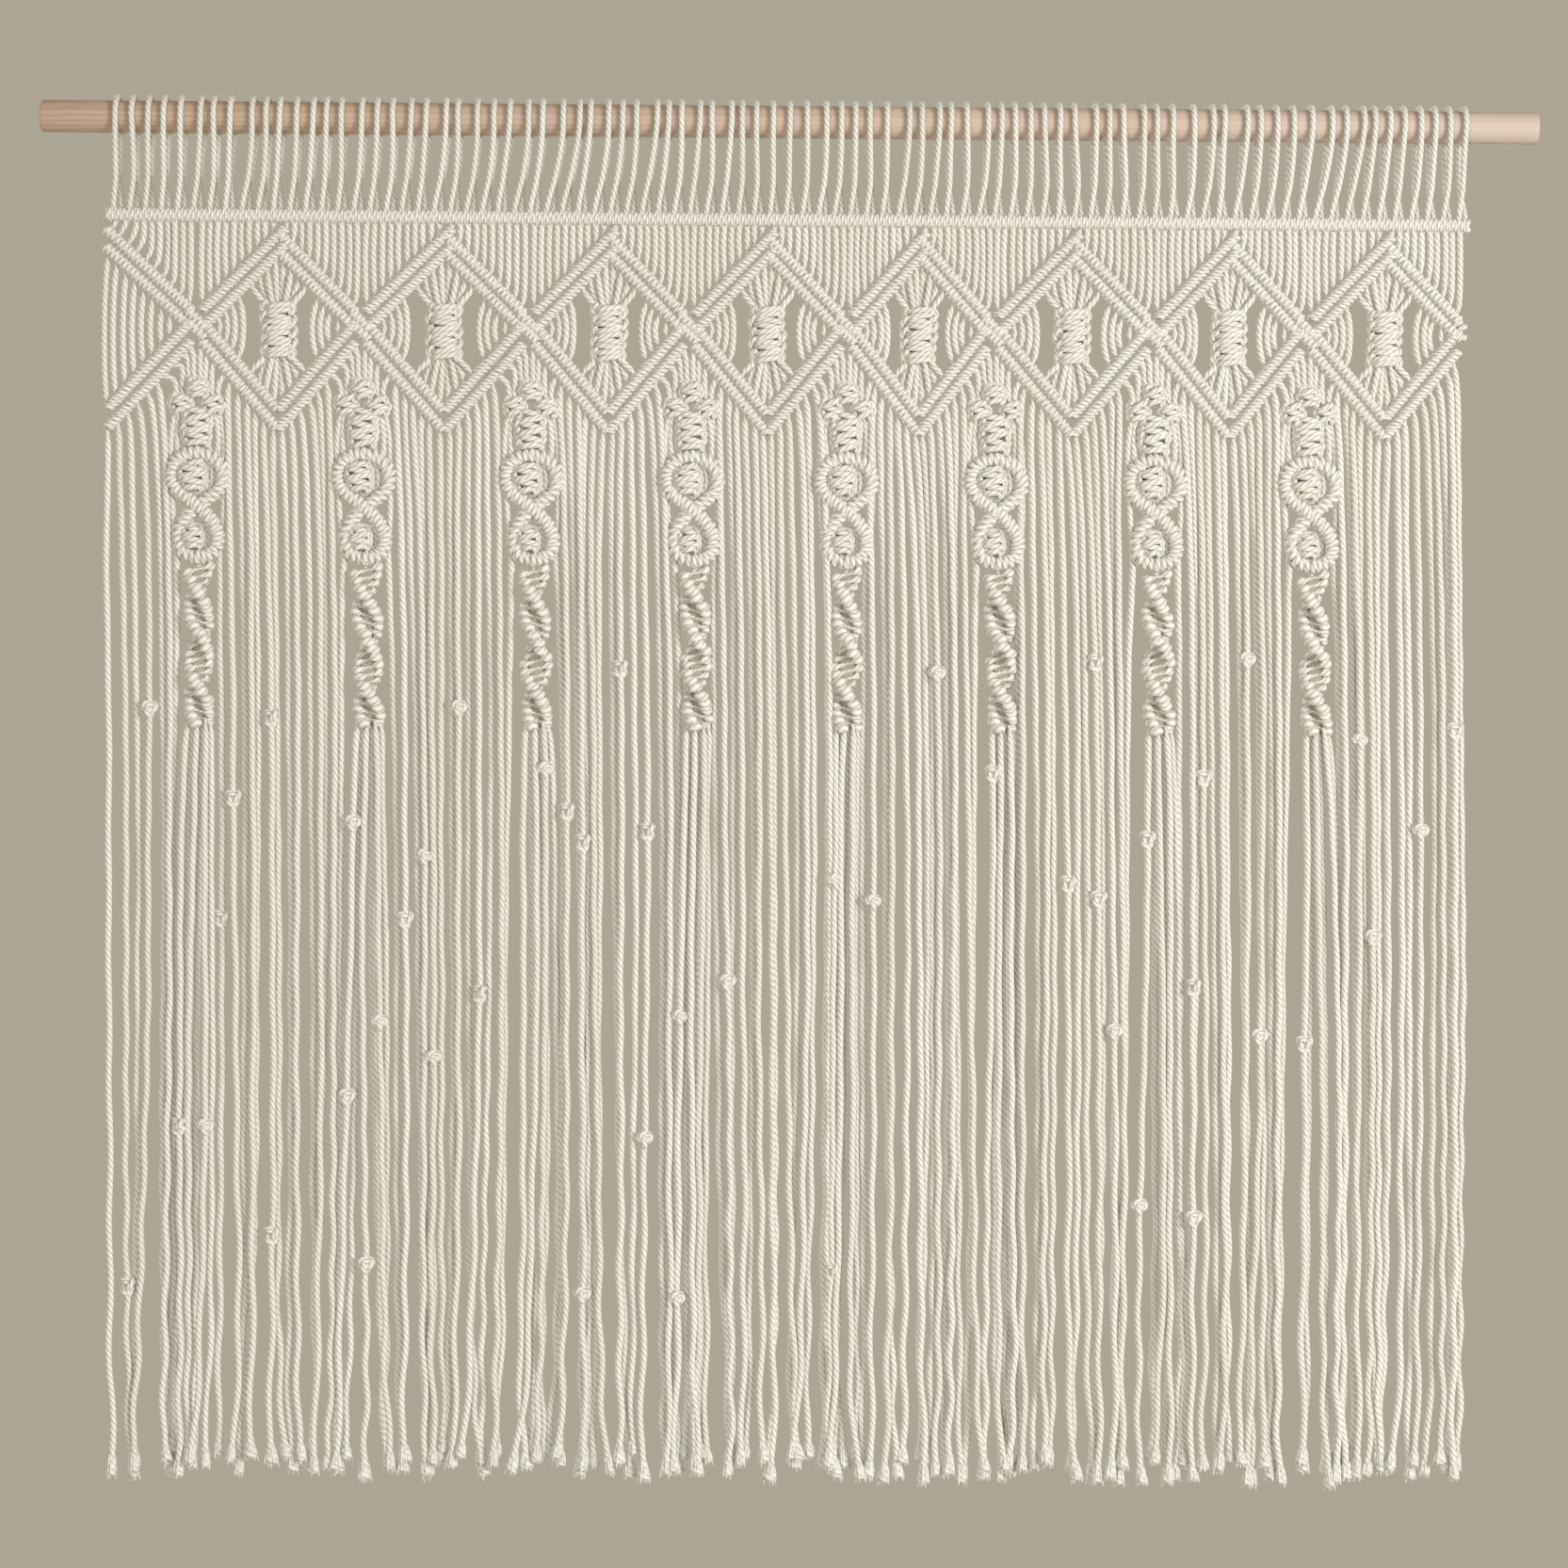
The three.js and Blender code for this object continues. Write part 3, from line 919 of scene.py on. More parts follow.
@dataclass
class Heading:
    """Cords folded over the rod, both legs of each tied into the header bar.

    The loops lean along the rod in a long and a short wave, given by rate, start and size.
    """

    loops: int = 85
    reach: float = 12.6
    radius: float = 2.0
    sides: int = 7
    foot_depth: float = 1.5
    foot_rise: float = 1.0
    leg_stations: int = 8
    fold_stations: int = 13
    split: float = 2.62
    split_height: float = 0.42
    lean: float = 3.0
    lean_middle: float = 0.9
    long_rate: float = 9.0
    long_start: float = 1.2
    short_rate: float = 23.0
    short_size: float = 0.7
    edge_rate: float = 9.0
    top_odd: float = 2.3
    bow_odd: float = 0.9
    tone: Varied = Varied(0.4, 0.35)
    bar: Row = Row(pitch=3.1, across=3.2, depth=3.3, radius=1.75, forward=0.6, starts=3)
    bar_left: float = 2.0
    bar_right: float = 2.8

    def loop_paths(self) -> Array:
        """Paths of the folded cords.

        Each leg is a line that touches a circle round the rod, and the fold follows the circle. Beside the
        header the two legs part, by the split times one less the smooth step of the height.

        Returns:
            (loops, stations, 3).
        """
        foot_y, foot_z = self.foot_depth, PLAN.header_z + self.foot_rise
        away = math.hypot(foot_y, foot_z)
        touch = math.acos(self.reach / away) - 0.5 * math.pi + math.atan2(foot_y, -foot_z)
        leg = np.linspace(0.0, 1.0, self.leg_stations, endpoint=False)[:, None]
        turn = np.linspace(touch, math.pi - touch, self.fold_stations)
        fold = np.stack([-self.reach * np.cos(turn), self.reach * np.sin(turn)], axis=-1)
        front = np.array([-foot_y, foot_z]) * (1 - leg) + fold[0] * leg
        back = front[::-1] * np.array([-1.0, 1.0])
        y, z = np.concatenate([front, fold, back]).T
        climb = np.clip((z - foot_z) / -foot_z, 0.0, 1.0)
        across = np.linspace(-1.0, 1.0, self.fold_stations)
        hand = np.concatenate([np.full(len(front), -1.0), across, np.ones(len(back))])
        share = (np.arange(self.loops) + 0.5) / self.loops
        foot = PLAN.left_edge + share * (PLAN.crossings[-1] + PLAN.cord - PLAN.left_edge)
        waves = np.sin(self.long_rate * share - self.long_start)
        waves += self.short_size * np.sin(self.short_rate * share)
        drift = self.lean * (self.lean_middle + waves) + self.top_odd * uneven(Seed.LOOP_TOP, self.loops)
        top = drift * ease(np.minimum(share, 1 - share) * self.edge_rate)
        bow = self.bow_odd * uneven(Seed.LOOP_BOW, self.loops)[:, None] * np.sin(np.pi * climb)
        parted = self.split * hand * (1 - ease(climb / self.split_height))
        x = foot[:, None] + top[:, None] * ease(climb) + bow + parted
        return points(x, y, z)

    def build(self, material: Material) -> Piece:
        """The heading as one piece.

        Args:
            material: the cotton.

        Returns:
            The piece.
        """
        work = CordWork("heading_loops")
        tone = self.tone.by(uneven(Seed.LOOP_TONE, self.loops))
        work.lay(self.loop_paths(), self.radius, FRONT, self.sides, tone=tone)
        first = (PLAN.left_edge - self.bar_left, PLAN.header_z)
        last = (PLAN.crossings[-1] + self.bar_right, PLAN.header_z)
        self.bar.run(work, first, last, -1, Seed.HEADER_BAR)
        return work.piece(material, Slot.COTTON, "heading")


@dataclass
class Lattice:
    """Two crossing zigzags of half hitches, the cords between them and the centre knots.

    A cord inside a diamond has its marks at shares of its bow and of the way down.
    """

    row: Row = Row()
    knot: FlatKnot = FlatKnot(
        half_width=7.3, half_depth=5.6, pitch=7.2, rows=5, doubled=2,
        radius=2.05, rise=1.0, ear=3.8, taper=0.05, loose=0.45,
    )
    knot_top: float = 17.2
    knot_drop: float = 3.5
    knot_forward: float = 0.8
    over: float = 4.2
    edge_over: float = 2.4
    lump: float = 5.6
    lump_lift: float = 0.3
    cord_radius: float = 2.25
    behind: float = 0.8
    layer_gap: float = 0.7
    cord_odd: float = 0.4
    part: float = 0.75
    bend: float = 4.2
    bend_share: float = 0.35
    bend_fade: float = 0.6
    edge_bend: float = 9.0
    edge_bend_share: float = 0.4
    bow: float = 5.0
    bow_left: float = 1.1
    bow_share: float = 0.26
    bow_marks: Marks = ((0.0, 0.0), (0.72, 0.18), (1.0, 0.5), (0.72, 0.82), (0.0, 1.0))
    edge_bow: float = 3.0
    tuck: float = 0.88
    edge_tuck: float = 1.0
    gather: float = 0.45
    gather_in: float = 7.0
    fan_back: float = 1.6
    fan_front: float = -1.2
    upper_stations: int = 13
    side_stations: int = 16
    fan_stations: int = 12
    tone: Varied = Varied(0.5, 0.35)

    def rows(self, work: CordWork) -> None:
        """Ties both upper rows and the first lower row of every side.

        Rows that climb to the right run on over their peak, up to the header bar, and so do those at the
        left edge.
        """
        for side in PLAN.sides():
            hand = int(side.inward)
            seed = Seed.ROW + 4 * side.index
            over = self.over * max(side.inward, 0.0) if side.bay else -self.edge_over
            for number, drop in enumerate((0.0, PLAN.row_drop)):
                peak = (side.peak + over, PLAN.peak_z - drop + abs(over))
                stop = PLAN.stopped(side, PLAN.crossing_z - drop, 1.0)
                self.row.run(work, peak, stop, hand, seed + number)
            self.row.run(work, *PLAN.lower_row(side, 0.0), -hand, seed + 2)

    def lumps(self, work: CordWork) -> None:
        """Ties two short rows over each crossing, those of the last one cut off at the right edge."""
        for number, crossing in enumerate(PLAN.crossings):
            past = 0.0 if crossing == PLAN.crossings[-1] else self.lump
            for second, hand in enumerate(HANDS):
                middle = PLAN.middle_z + hand * self.lump_lift * PLAN.row_drop
                start = (crossing - self.lump, middle + self.lump)
                end = (crossing + past, middle - past)
                self.row.run(work, start, end, -1, Seed.CROSSING + 2 * number + second)

    def stretch(
        self, work: CordWork, marks: list[Array], stations: int, nips: tuple[bool, bool], seed: int
    ) -> None:
        """Lays a side's cords smoothly through marks, (cords, 3) each, nipped by rows at given ends."""
        paths = through(np.stack(marks, axis=1), stations)
        radius = self.cord_radius * nipped(paths, *nips)
        work.lay(paths, radius, FRONT, tone=self.tone.by(uneven(seed, len(paths))))

    def upper_cords(self, work: CordWork) -> None:
        """Lays the cords from the header bar to the upper rows, each turned square into its row.

        Their marks are shares of the bend aside and above the row.
        """
        ranks = np.arange(PLAN.cords_per_side)
        near = ranks / PLAN.cords_per_side
        for side in PLAN.sides():
            x = PLAN.cord_x(side, ranks + self.part * (1 - near))
            end = PLAN.upper(side, x)
            top = np.full(len(ranks), PLAN.header_z)
            odd = uneven(Seed.UPPER_CORD + side.index, 2, len(ranks))
            if side.bay:
                bend = np.minimum(self.bend, self.bend_share * (top - end)) * (1 - self.bend_fade * near)
            else:
                most = self.edge_bend * (1 - self.bend_fade + self.bend_fade * near)
                bend = np.minimum(most, self.edge_bend_share * (top - end))
            away = side.inward * bend
            y = self.behind + self.layer_gap * alternate(ranks) + self.cord_odd * odd[0]
            marks = [
                points(x - 0.85 * away, y, top),
                points(x - away + 0.5 * odd[1], y, 0.5 * (top + end) + 1.2 * bend),
                points(x - 0.88 * away, y, end + 1.7 * bend),
                points(x - 0.48 * away, y, end + 0.75 * bend),
                points(x, 0.5 * y, end),
            ]
            self.stretch(work, marks, self.upper_stations, (False, True), Seed.UPPER_TONE + side.index)

    def side_cords(self, work: CordWork, side: Side) -> None:
        """Lays the cords inside a diamond, tucked in at their rows and bowed away from the crossing.

        Those to the left of a crossing are bowed more.
        """
        last = PLAN.first_fan_cord if side.bay else PLAN.cords_per_side
        ranks = np.arange(PLAN.first_side_cord, last)
        tuck = self.tuck if side.bay else self.edge_tuck
        reach = self.bow - self.bow_left * side.inward if side.bay else self.edge_bow
        x = side.crossing + tuck * (PLAN.cord_x(side, ranks) - side.crossing)
        top, low = PLAN.upper(side, x) - PLAN.row_drop, PLAN.lower(side, x)
        bow = side.inward * np.minimum(reach, self.bow_share * (top - low))
        bow += self.cord_odd * uneven(Seed.SIDE_CORD + side.index, len(ranks))
        y = self.behind + self.layer_gap * alternate(ranks)
        marks = [
            points(x + share * bow, y * (0 < down < 1), (1 - down) * top + down * low)
            for share, down in self.bow_marks
        ]
        self.stretch(work, marks, self.side_stations, (True, True), Seed.SIDE_TONE + side.index)

    def fan_cords(self, work: CordWork, side: Side) -> None:
        """Lays the cords that a diamond's centre knot gathers, above and below it."""
        ranks = np.arange(PLAN.first_fan_cord, PLAN.cords_per_side)
        x = PLAN.cord_x(side, ranks)
        near = side.peak + (x - side.peak) * self.gather
        y = np.where(ranks % 2, self.fan_back, self.fan_front)
        rows = (PLAN.upper(side, x) - PLAN.row_drop, PLAN.lower(side, x))
        for number, hand, row in zip((1, 0), (1.0, -1.0), rows):
            edge = PLAN.middle_z - self.knot_drop + hand * self.knot_top
            marks = [
                points(x, 0.0, row),
                points(0.72 * x + 0.28 * near, y, 0.55 * row + 0.45 * edge),
                points(0.15 * x + 0.85 * near, y, edge + hand * 1.5),
                points(near, 0.6 * y, edge - hand * self.gather_in),
            ]
            seed = Seed.FAN_TONE + 2 * side.index + number
            self.stretch(work, marks, self.fan_stations, (True, False), seed)

    def build(self, material: Material) -> Piece:
        """The lattice as one piece.

        Args:
            material: the cotton.

        Returns:
            The piece.
        """
        work = CordWork("lattice_of_half_hitches")
        self.rows(work)
        self.lumps(work)
        self.upper_cords(work)
        for side in PLAN.sides():
            self.side_cords(work, side)
            if side.bay > 0:
                self.fan_cords(work, side)
        middles = points(np.array(PLAN.peaks[1:]), -self.knot_forward, PLAN.middle_z - self.knot_drop)
        self.knot.tie(work, middles, Seed.CENTRE_KNOT)
        return work.piece(material, Slot.COTTON, "lattice")


@dataclass(frozen=True)
class Fray:
    """A cord's cut end: a bell, and a brush of loose fibres on it.

    The length and the fibres' radius are lengths, the flare is in cord radii, and other sizes are shares.
    Names that end in odd say how much single ends and fibres differ.
    """

    length: float = 13.0
    bell: float = 0.92
    bell_odd: float = 0.2
    bell_stations: int = 5
    flare: Varied = Varied(1.9, 0.4)
    flare_power: float = 1.2
    fibres: int = 18
    fibre_stations: int = 5
    radius: float = 0.85
    root: float = 0.35
    root_rate: float = 4.0
    thinning: float = 0.45
    turn_odd: float = 0.12
    start: Varied = Varied(0.3, 0.28)
    wall: float = 0.96
    inward_odd: float = 0.4
    waver_odd: float = 0.16
    end: Varied = Varied(1.1, 0.16)
    tone: float = 0.6

    def widened(self, flare: Array, share: Array) -> Array:
        """A bell's radius in cord radii at a share of its length: 1 + (flare - 1) share^power."""
        return 1 + (flare - 1) * share**self.flare_power

    def brush(
        self, work: CordWork, ends: Array, bells: Array, flare: Array, wide: float, tone: Array, seed: int
    ) -> None:
        """Lays the fibres, each along a bell's wall from its upper half to a little past its end.

        Args:
            work: what takes the fibres.
            ends: where the bells start, (cords, 1, 3).
            bells: the bells' lengths as vectors, (cords, 1, 3).
            flare: the bells' width at their ends in cord radii, (cords, 1).
            wide: the cords' radius.
            tone: warmth of each cord, (cords,).
            seed: of the unevenness.
        """
        odd = uneven(seed, len(ends), self.fibres, 5)
        s = np.linspace(0.0, 1.0, self.fibre_stations)
        angle = np.pi * (np.arange(self.fibres)[:, None] * 2 / self.fibres + self.turn_odd * odd[..., :1])
        begin = self.start.by(odd[..., 4:])
        reach = self.widened(flare[:, None], begin + (1 - begin) * s)
        inward = self.wall - self.inward_odd * odd[..., 1:2] ** 2 * s
        spread = wide * reach * (inward + self.waver_odd * odd[..., 2:3] * s**2)
        down = begin + (self.end.by(odd[..., 3:4]) - begin) * s
        local = points(spread * np.cos(angle), spread * np.sin(angle), 0.0)
        fibres = ends[:, None] + bells[:, None] * down[..., None] + local
        thin = self.radius * np.minimum(self.root_rate * s + self.root, 1) * (1 - self.thinning * s)
        shade = np.repeat(self.tone * tone, self.fibres)
        work.lay(fibres.reshape(-1, len(s), 3), thin, -FRONT, 3, tone=shade, held=CREST)


@dataclass(frozen=True)
class FreeCords:
    """How cut cords hang from their roots to the frayed hem.

    Names that end in drop are lengths of cord over which something happens below the root.
    """

    radius: float = 2.25
    sides: int = 7
    swell: float = 0.04
    swell_length: float = 6.0
    tone: Varied = Varied(0.5, 0.45)
    near_drop: float = 20.0
    near_stations: int = 8
    far_stations: int = 78
    bend_drop: float = 5.0
    lean: float = 9.5
    lean_drop: float = 250.0
    gather_drop: float = 60.0
    groups: Marks = ((2.9, 8.9, 5.13), (2.6, 13.7, 0.9))
    wander: float = 2.6
    wander_depth: float = 0.5
    wander_step: float = 0.62
    wander_growth: tuple[float, ...] = (0.0, 0.9, 0.7, 0.7, 0.7, 0.7, 0.8, 0.9)
    wander_stations: int = 120
    ripple: float = 0.2
    hem_ripple: float = 1.2
    ripple_length: Varied = Varied(12.0, 4.0)
    ripple_start_odd: float = 3.1
    swing: float = 3.0
    swing_rate: float = 6.0
    stray: float = 9.0
    stray_clear: float = 3.0
    part_drop: float = 12.0
    root_depth: float = 0.8
    hem_depth: float = 2.6
    depth_rate: float = 4.0
    depth_share: Varied = Varied(0.75, 0.25)
    fray: Fray = Fray()
    fray_overlap: float = 3.0

    def leaning(self, drop: Array) -> Array:
        """How far to the right a cord hangs at a drop: lean (1 - exp(-drop / lean drop))."""
        return self.lean * (1 - np.exp(-drop / self.lean_drop))

    def gathering(self, x: Array, drop: Array) -> Array:
        """How far cords hang from their even places, in loose groups.

        Each row of groups is (size, width, place) of a wave, and the sum of size sin(x / width + place)
        grows as 1 - exp(-drop / gather drop).

        Args:
            x: the cords' roots.
            drop: how far below their roots.

        Returns:
            The distance to the right.
        """
        waves = sum(size * np.sin(x / width + place) for size, width, place in self.groups)
        return waves * (1 - np.exp(-drop / self.gather_drop))

    def wandering(self, share: Array, seed: int) -> Array:
        """Smooth random steps, aside and in depth, that add up on the way down.

        Args:
            share: of the way down, (cords, stations).
            seed: of the steps.

        Returns:
            (cords, stations, 2).
        """
        cords = len(share)
        growth = np.array(self.wander_growth)[:, None]
        steps = np.cumsum(uneven(seed, cords, len(growth), 2) * growth, axis=1)
        fine = through(self.wander_step * steps, self.wander_stations)
        place = share * (self.wander_stations - 1)
        level = np.minimum(place.astype(int), self.wander_stations - 2)
        part = (place - level)[..., None]
        cord = np.arange(cords)[:, None]
        return fine[cord, level] * (1 - part) + fine[cord, level + 1] * part

    def paths(self, roots: Array, shift: Array, hem_x: Array, layer: Array, seed: int) -> Array:
        """Paths of hanging cords.

        Across, a cord leaves its row by the shift times 1 - exp(-drop / bend drop), nears its place at the
        hem in proportion to the drop, leans to the right, wanders, and swings aside near its end. A few
        stray far to one side, clear of their layer, by the cube of a random number times share^3.

        Args:
            roots: where the cords start, (cords, 3).
            shift: how far each leaves its root sideways, (cords,).
            hem_x: each cord's place at the hem before it leans, (cords,).
            layer: -1 for the front layer and 1 for the back, (cords,).
            seed: of the unevenness.

        Returns:
            (cords, stations, 3).
        """
        cords = len(roots)
        hem = PLAN.hem_z + self.fray.length - self.fray_overlap + PLAN.hem_uneven * uneven(seed, cords)
        total = (roots[:, 2] - hem)[:, None]
        near = np.linspace(0.0, self.near_drop, self.near_stations, endpoint=False)
        far = self.near_drop + (total - self.near_drop) * np.linspace(0.0, 1.0, self.far_stations)
        drop = np.concatenate([np.broadcast_to(near, (cords, len(near))), far], axis=1)
        share = drop / total
        wander = self.wandering(share, seed + 1)
        odd = uneven(seed + 2, cords, 2)
        ripple = np.sin(drop / self.ripple_length.by(odd[:, :1]) + self.ripple_start_odd * odd[:, 1:])
        aside = (self.ripple + self.hem_ripple * share**3) * ripple
        late = np.clip(self.swing_rate * (share - 1) + 1, 0.0, 1.0)
        aside += self.swing * uneven(seed + 4, cords, 1) * late**2
        astray = uneven(seed + 6, cords, 1) ** 3 * share**3
        aside += self.stray * astray + self.gathering(roots[:, :1], drop)
        leaving = shift[:, None] * (1 - np.exp(-drop / self.bend_drop))
        nearing = (hem_x - roots[:, 0] - shift)[:, None] * share
        x = roots[:, :1] + leaving + nearing + self.leaning(drop) + self.wander * wander[..., 0] + aside
        depth = self.root_depth + (self.hem_depth - self.root_depth) * ease(share * self.depth_rate)
        depth *= self.depth_share.by(uneven(seed + 3, cords, 1))
        depth += self.stray_clear * np.abs(astray)
        apart = layer[:, None] * depth * ease(drop / self.part_drop)
        y = roots[:, 1:2] + apart + self.wander_depth * wander[..., 1]
        return points(x, y, roots[:, 2:] - drop)

    def hang(self, work: CordWork, paths: Array, seed: int) -> None:
        """Lays the cords, each opened at its end into a frayed bell.

        Args:
            work: what takes the cords.
            paths: (cords, stations, 3).
            seed: of the unevenness.
        """
        cords = len(paths)
        fray = self.fray
        tone = self.tone.by(uneven(seed, cords))
        swell = 1 + self.swell * np.sin(paths[..., 2] / self.swell_length + paths[..., 0])
        opened = np.linspace(0.0, 1.0, fray.bell_stations + 1)[1:]
        odd = uneven(seed + 2, cords, 2)
        length = fray.bell * fray.length * (1 + fray.bell_odd * odd[:, :1])
        flare = fray.flare.by(odd[:, 1:])
        ends = paths[:, -1:]
        bells = unit(paths[:, -1] - paths[:, -4])[:, None] * length[..., None]
        whole = np.concatenate([paths, ends + bells * opened[:, None]], axis=1)
        radius = np.concatenate([swell * nipped(paths, True, False), fray.widened(flare, opened)], axis=1)
        work.lay(whole, self.radius * radius, FRONT, self.sides, tone=tone)
        fray.brush(work, ends, bells, flare, self.radius, tone, seed + 1)


# Small knots on single cords, (x, z) of each, roughly from the highest to the lowest.
SMALL_KNOTS = (
    (-425, -392), (-329, -391), (-215, -390), (-115, -362), (-152, -429), (100, -360), (128, -425),
    (201, -350), (302, -349), (274, -426), (379, -407), (438, -394), (-363, -450), (-281, -463),
    (-236, -483), (-132, -474), (-90, -468), (20, -496), (63, -512), (231, -467), (184, -501),
    (206, -510), (426, -460), (-369, -526), (-246, -527), (-145, -456), (-195, -575), (-268, -593),
    (-76, -591), (-33, -566), (214, -598), (265, -568), (386, -534), (317, -596), (342, -602),
    (-293, -645), (-225, -616), (-405, -664), (-383, -664), (-89, -669), (-337, -734), (-272, -753),
    (-425, -771), (-134, -774), (-65, -774), (274, -717), (227, -714), (35, -758),
)
# How much further off a cord of the back layer counts when a small knot's nearest cord is looked for.
BACK_LAYER_PENALTY = 9.0


def tie_small_knots(work: CordWork, paths: Array, low: float, high: float, seed: int) -> None:
    """Ties the small knots whose x lies between low and high, each on the nearest cord of the front layer.

    Args:
        work: what takes the knots.
        paths: hanging cords, (cords, stations, 3).
        low: the left limit.
        high: the right limit.
        seed: of the knots' turns.
    """
    wanted = np.array([mark for mark in SMALL_KNOTS if low <= mark[0] < high], float)
    if not len(wanted):
        return
    station = np.abs(paths[None, :, :, 2] - wanted[:, None, None, 1]).argmin(-1)
    spots = paths[np.arange(len(paths))[None], station]
    missed = np.abs(spots[..., 0] - wanted[:, :1]) + np.where(spots[..., 1] > 0, BACK_LAYER_PENALTY, 0.0)
    SmallKnot().tie(work, spots[np.arange(len(wanted)), missed.argmin(1)], seed)


@dataclass
class Fringe:
    """The lowest row of half hitches under one diamond, and the cut cords that hang from it.

    A cord leaves its row sideways, less so towards the diamond's lower tip, and keeps a share of that down
    to the hem.
    """

    bay: int
    row: Row = Row()
    cords: FreeCords = FreeCords()
    root_depth: float = 0.3
    leave: float = 4.0
    leave_most: float = 1.1
    leave_odd: float = 0.2
    leave_kept: float = 0.6

    def side_paths(self, side: Side) -> Array:
        """Paths of the cords that hang from one side of the row, (cords, stations, 3)."""
        first = 1 if side.crossing == PLAN.crossings[-1] else PLAN.column_cords
        ranks = np.arange(first, PLAN.cords_per_side)
        x = PLAN.cord_x(side, ranks)
        layer = alternate(side.index * PLAN.cords_per_side + ranks)
        share = self.leave_most - (ranks / (PLAN.cords_per_side - 1)) ** 2
        share += self.leave_odd * uneven(Seed.FRINGE_LEAVE + side.index, len(ranks))
        shift = -side.inward * self.leave * share
        roots = points(x, self.root_depth * layer, PLAN.lower(side, x) - PLAN.lower_drop)
        seed = Seed.FRINGE_CORD + 5 * side.index
        return self.cords.paths(roots, shift, x + self.leave_kept * shift, layer, seed)

    def build(self, material: Material) -> Piece:
        """The fringe of the bay as one piece.

        Args:
            material: the cotton.

        Returns:
            The piece.
        """
        name = f"fringe_{self.bay + 1}"
        work = CordWork(f"{name}_cords")
        sides = PLAN.sides(self.bay)
        for side in sides:
            ends = PLAN.lower_row(side, PLAN.lower_drop)
            self.row.run(work, *ends, -int(side.inward), Seed.ROW + 4 * side.index + 3)
        hanging = np.concatenate([self.side_paths(side) for side in sides])
        self.cords.hang(work, hanging, Seed.FRINGE_END + 3 * self.bay)
        between = (-math.inf, *PLAN.crossings[:-1], math.inf)
        left, right = between[self.bay] + PLAN.column_reach, between[self.bay + 1] - PLAN.column_reach
        tie_small_knots(work, hanging, left, right, Seed.FRINGE_KNOT + self.bay)
        return work.piece(material, Slot.COTTON, name)


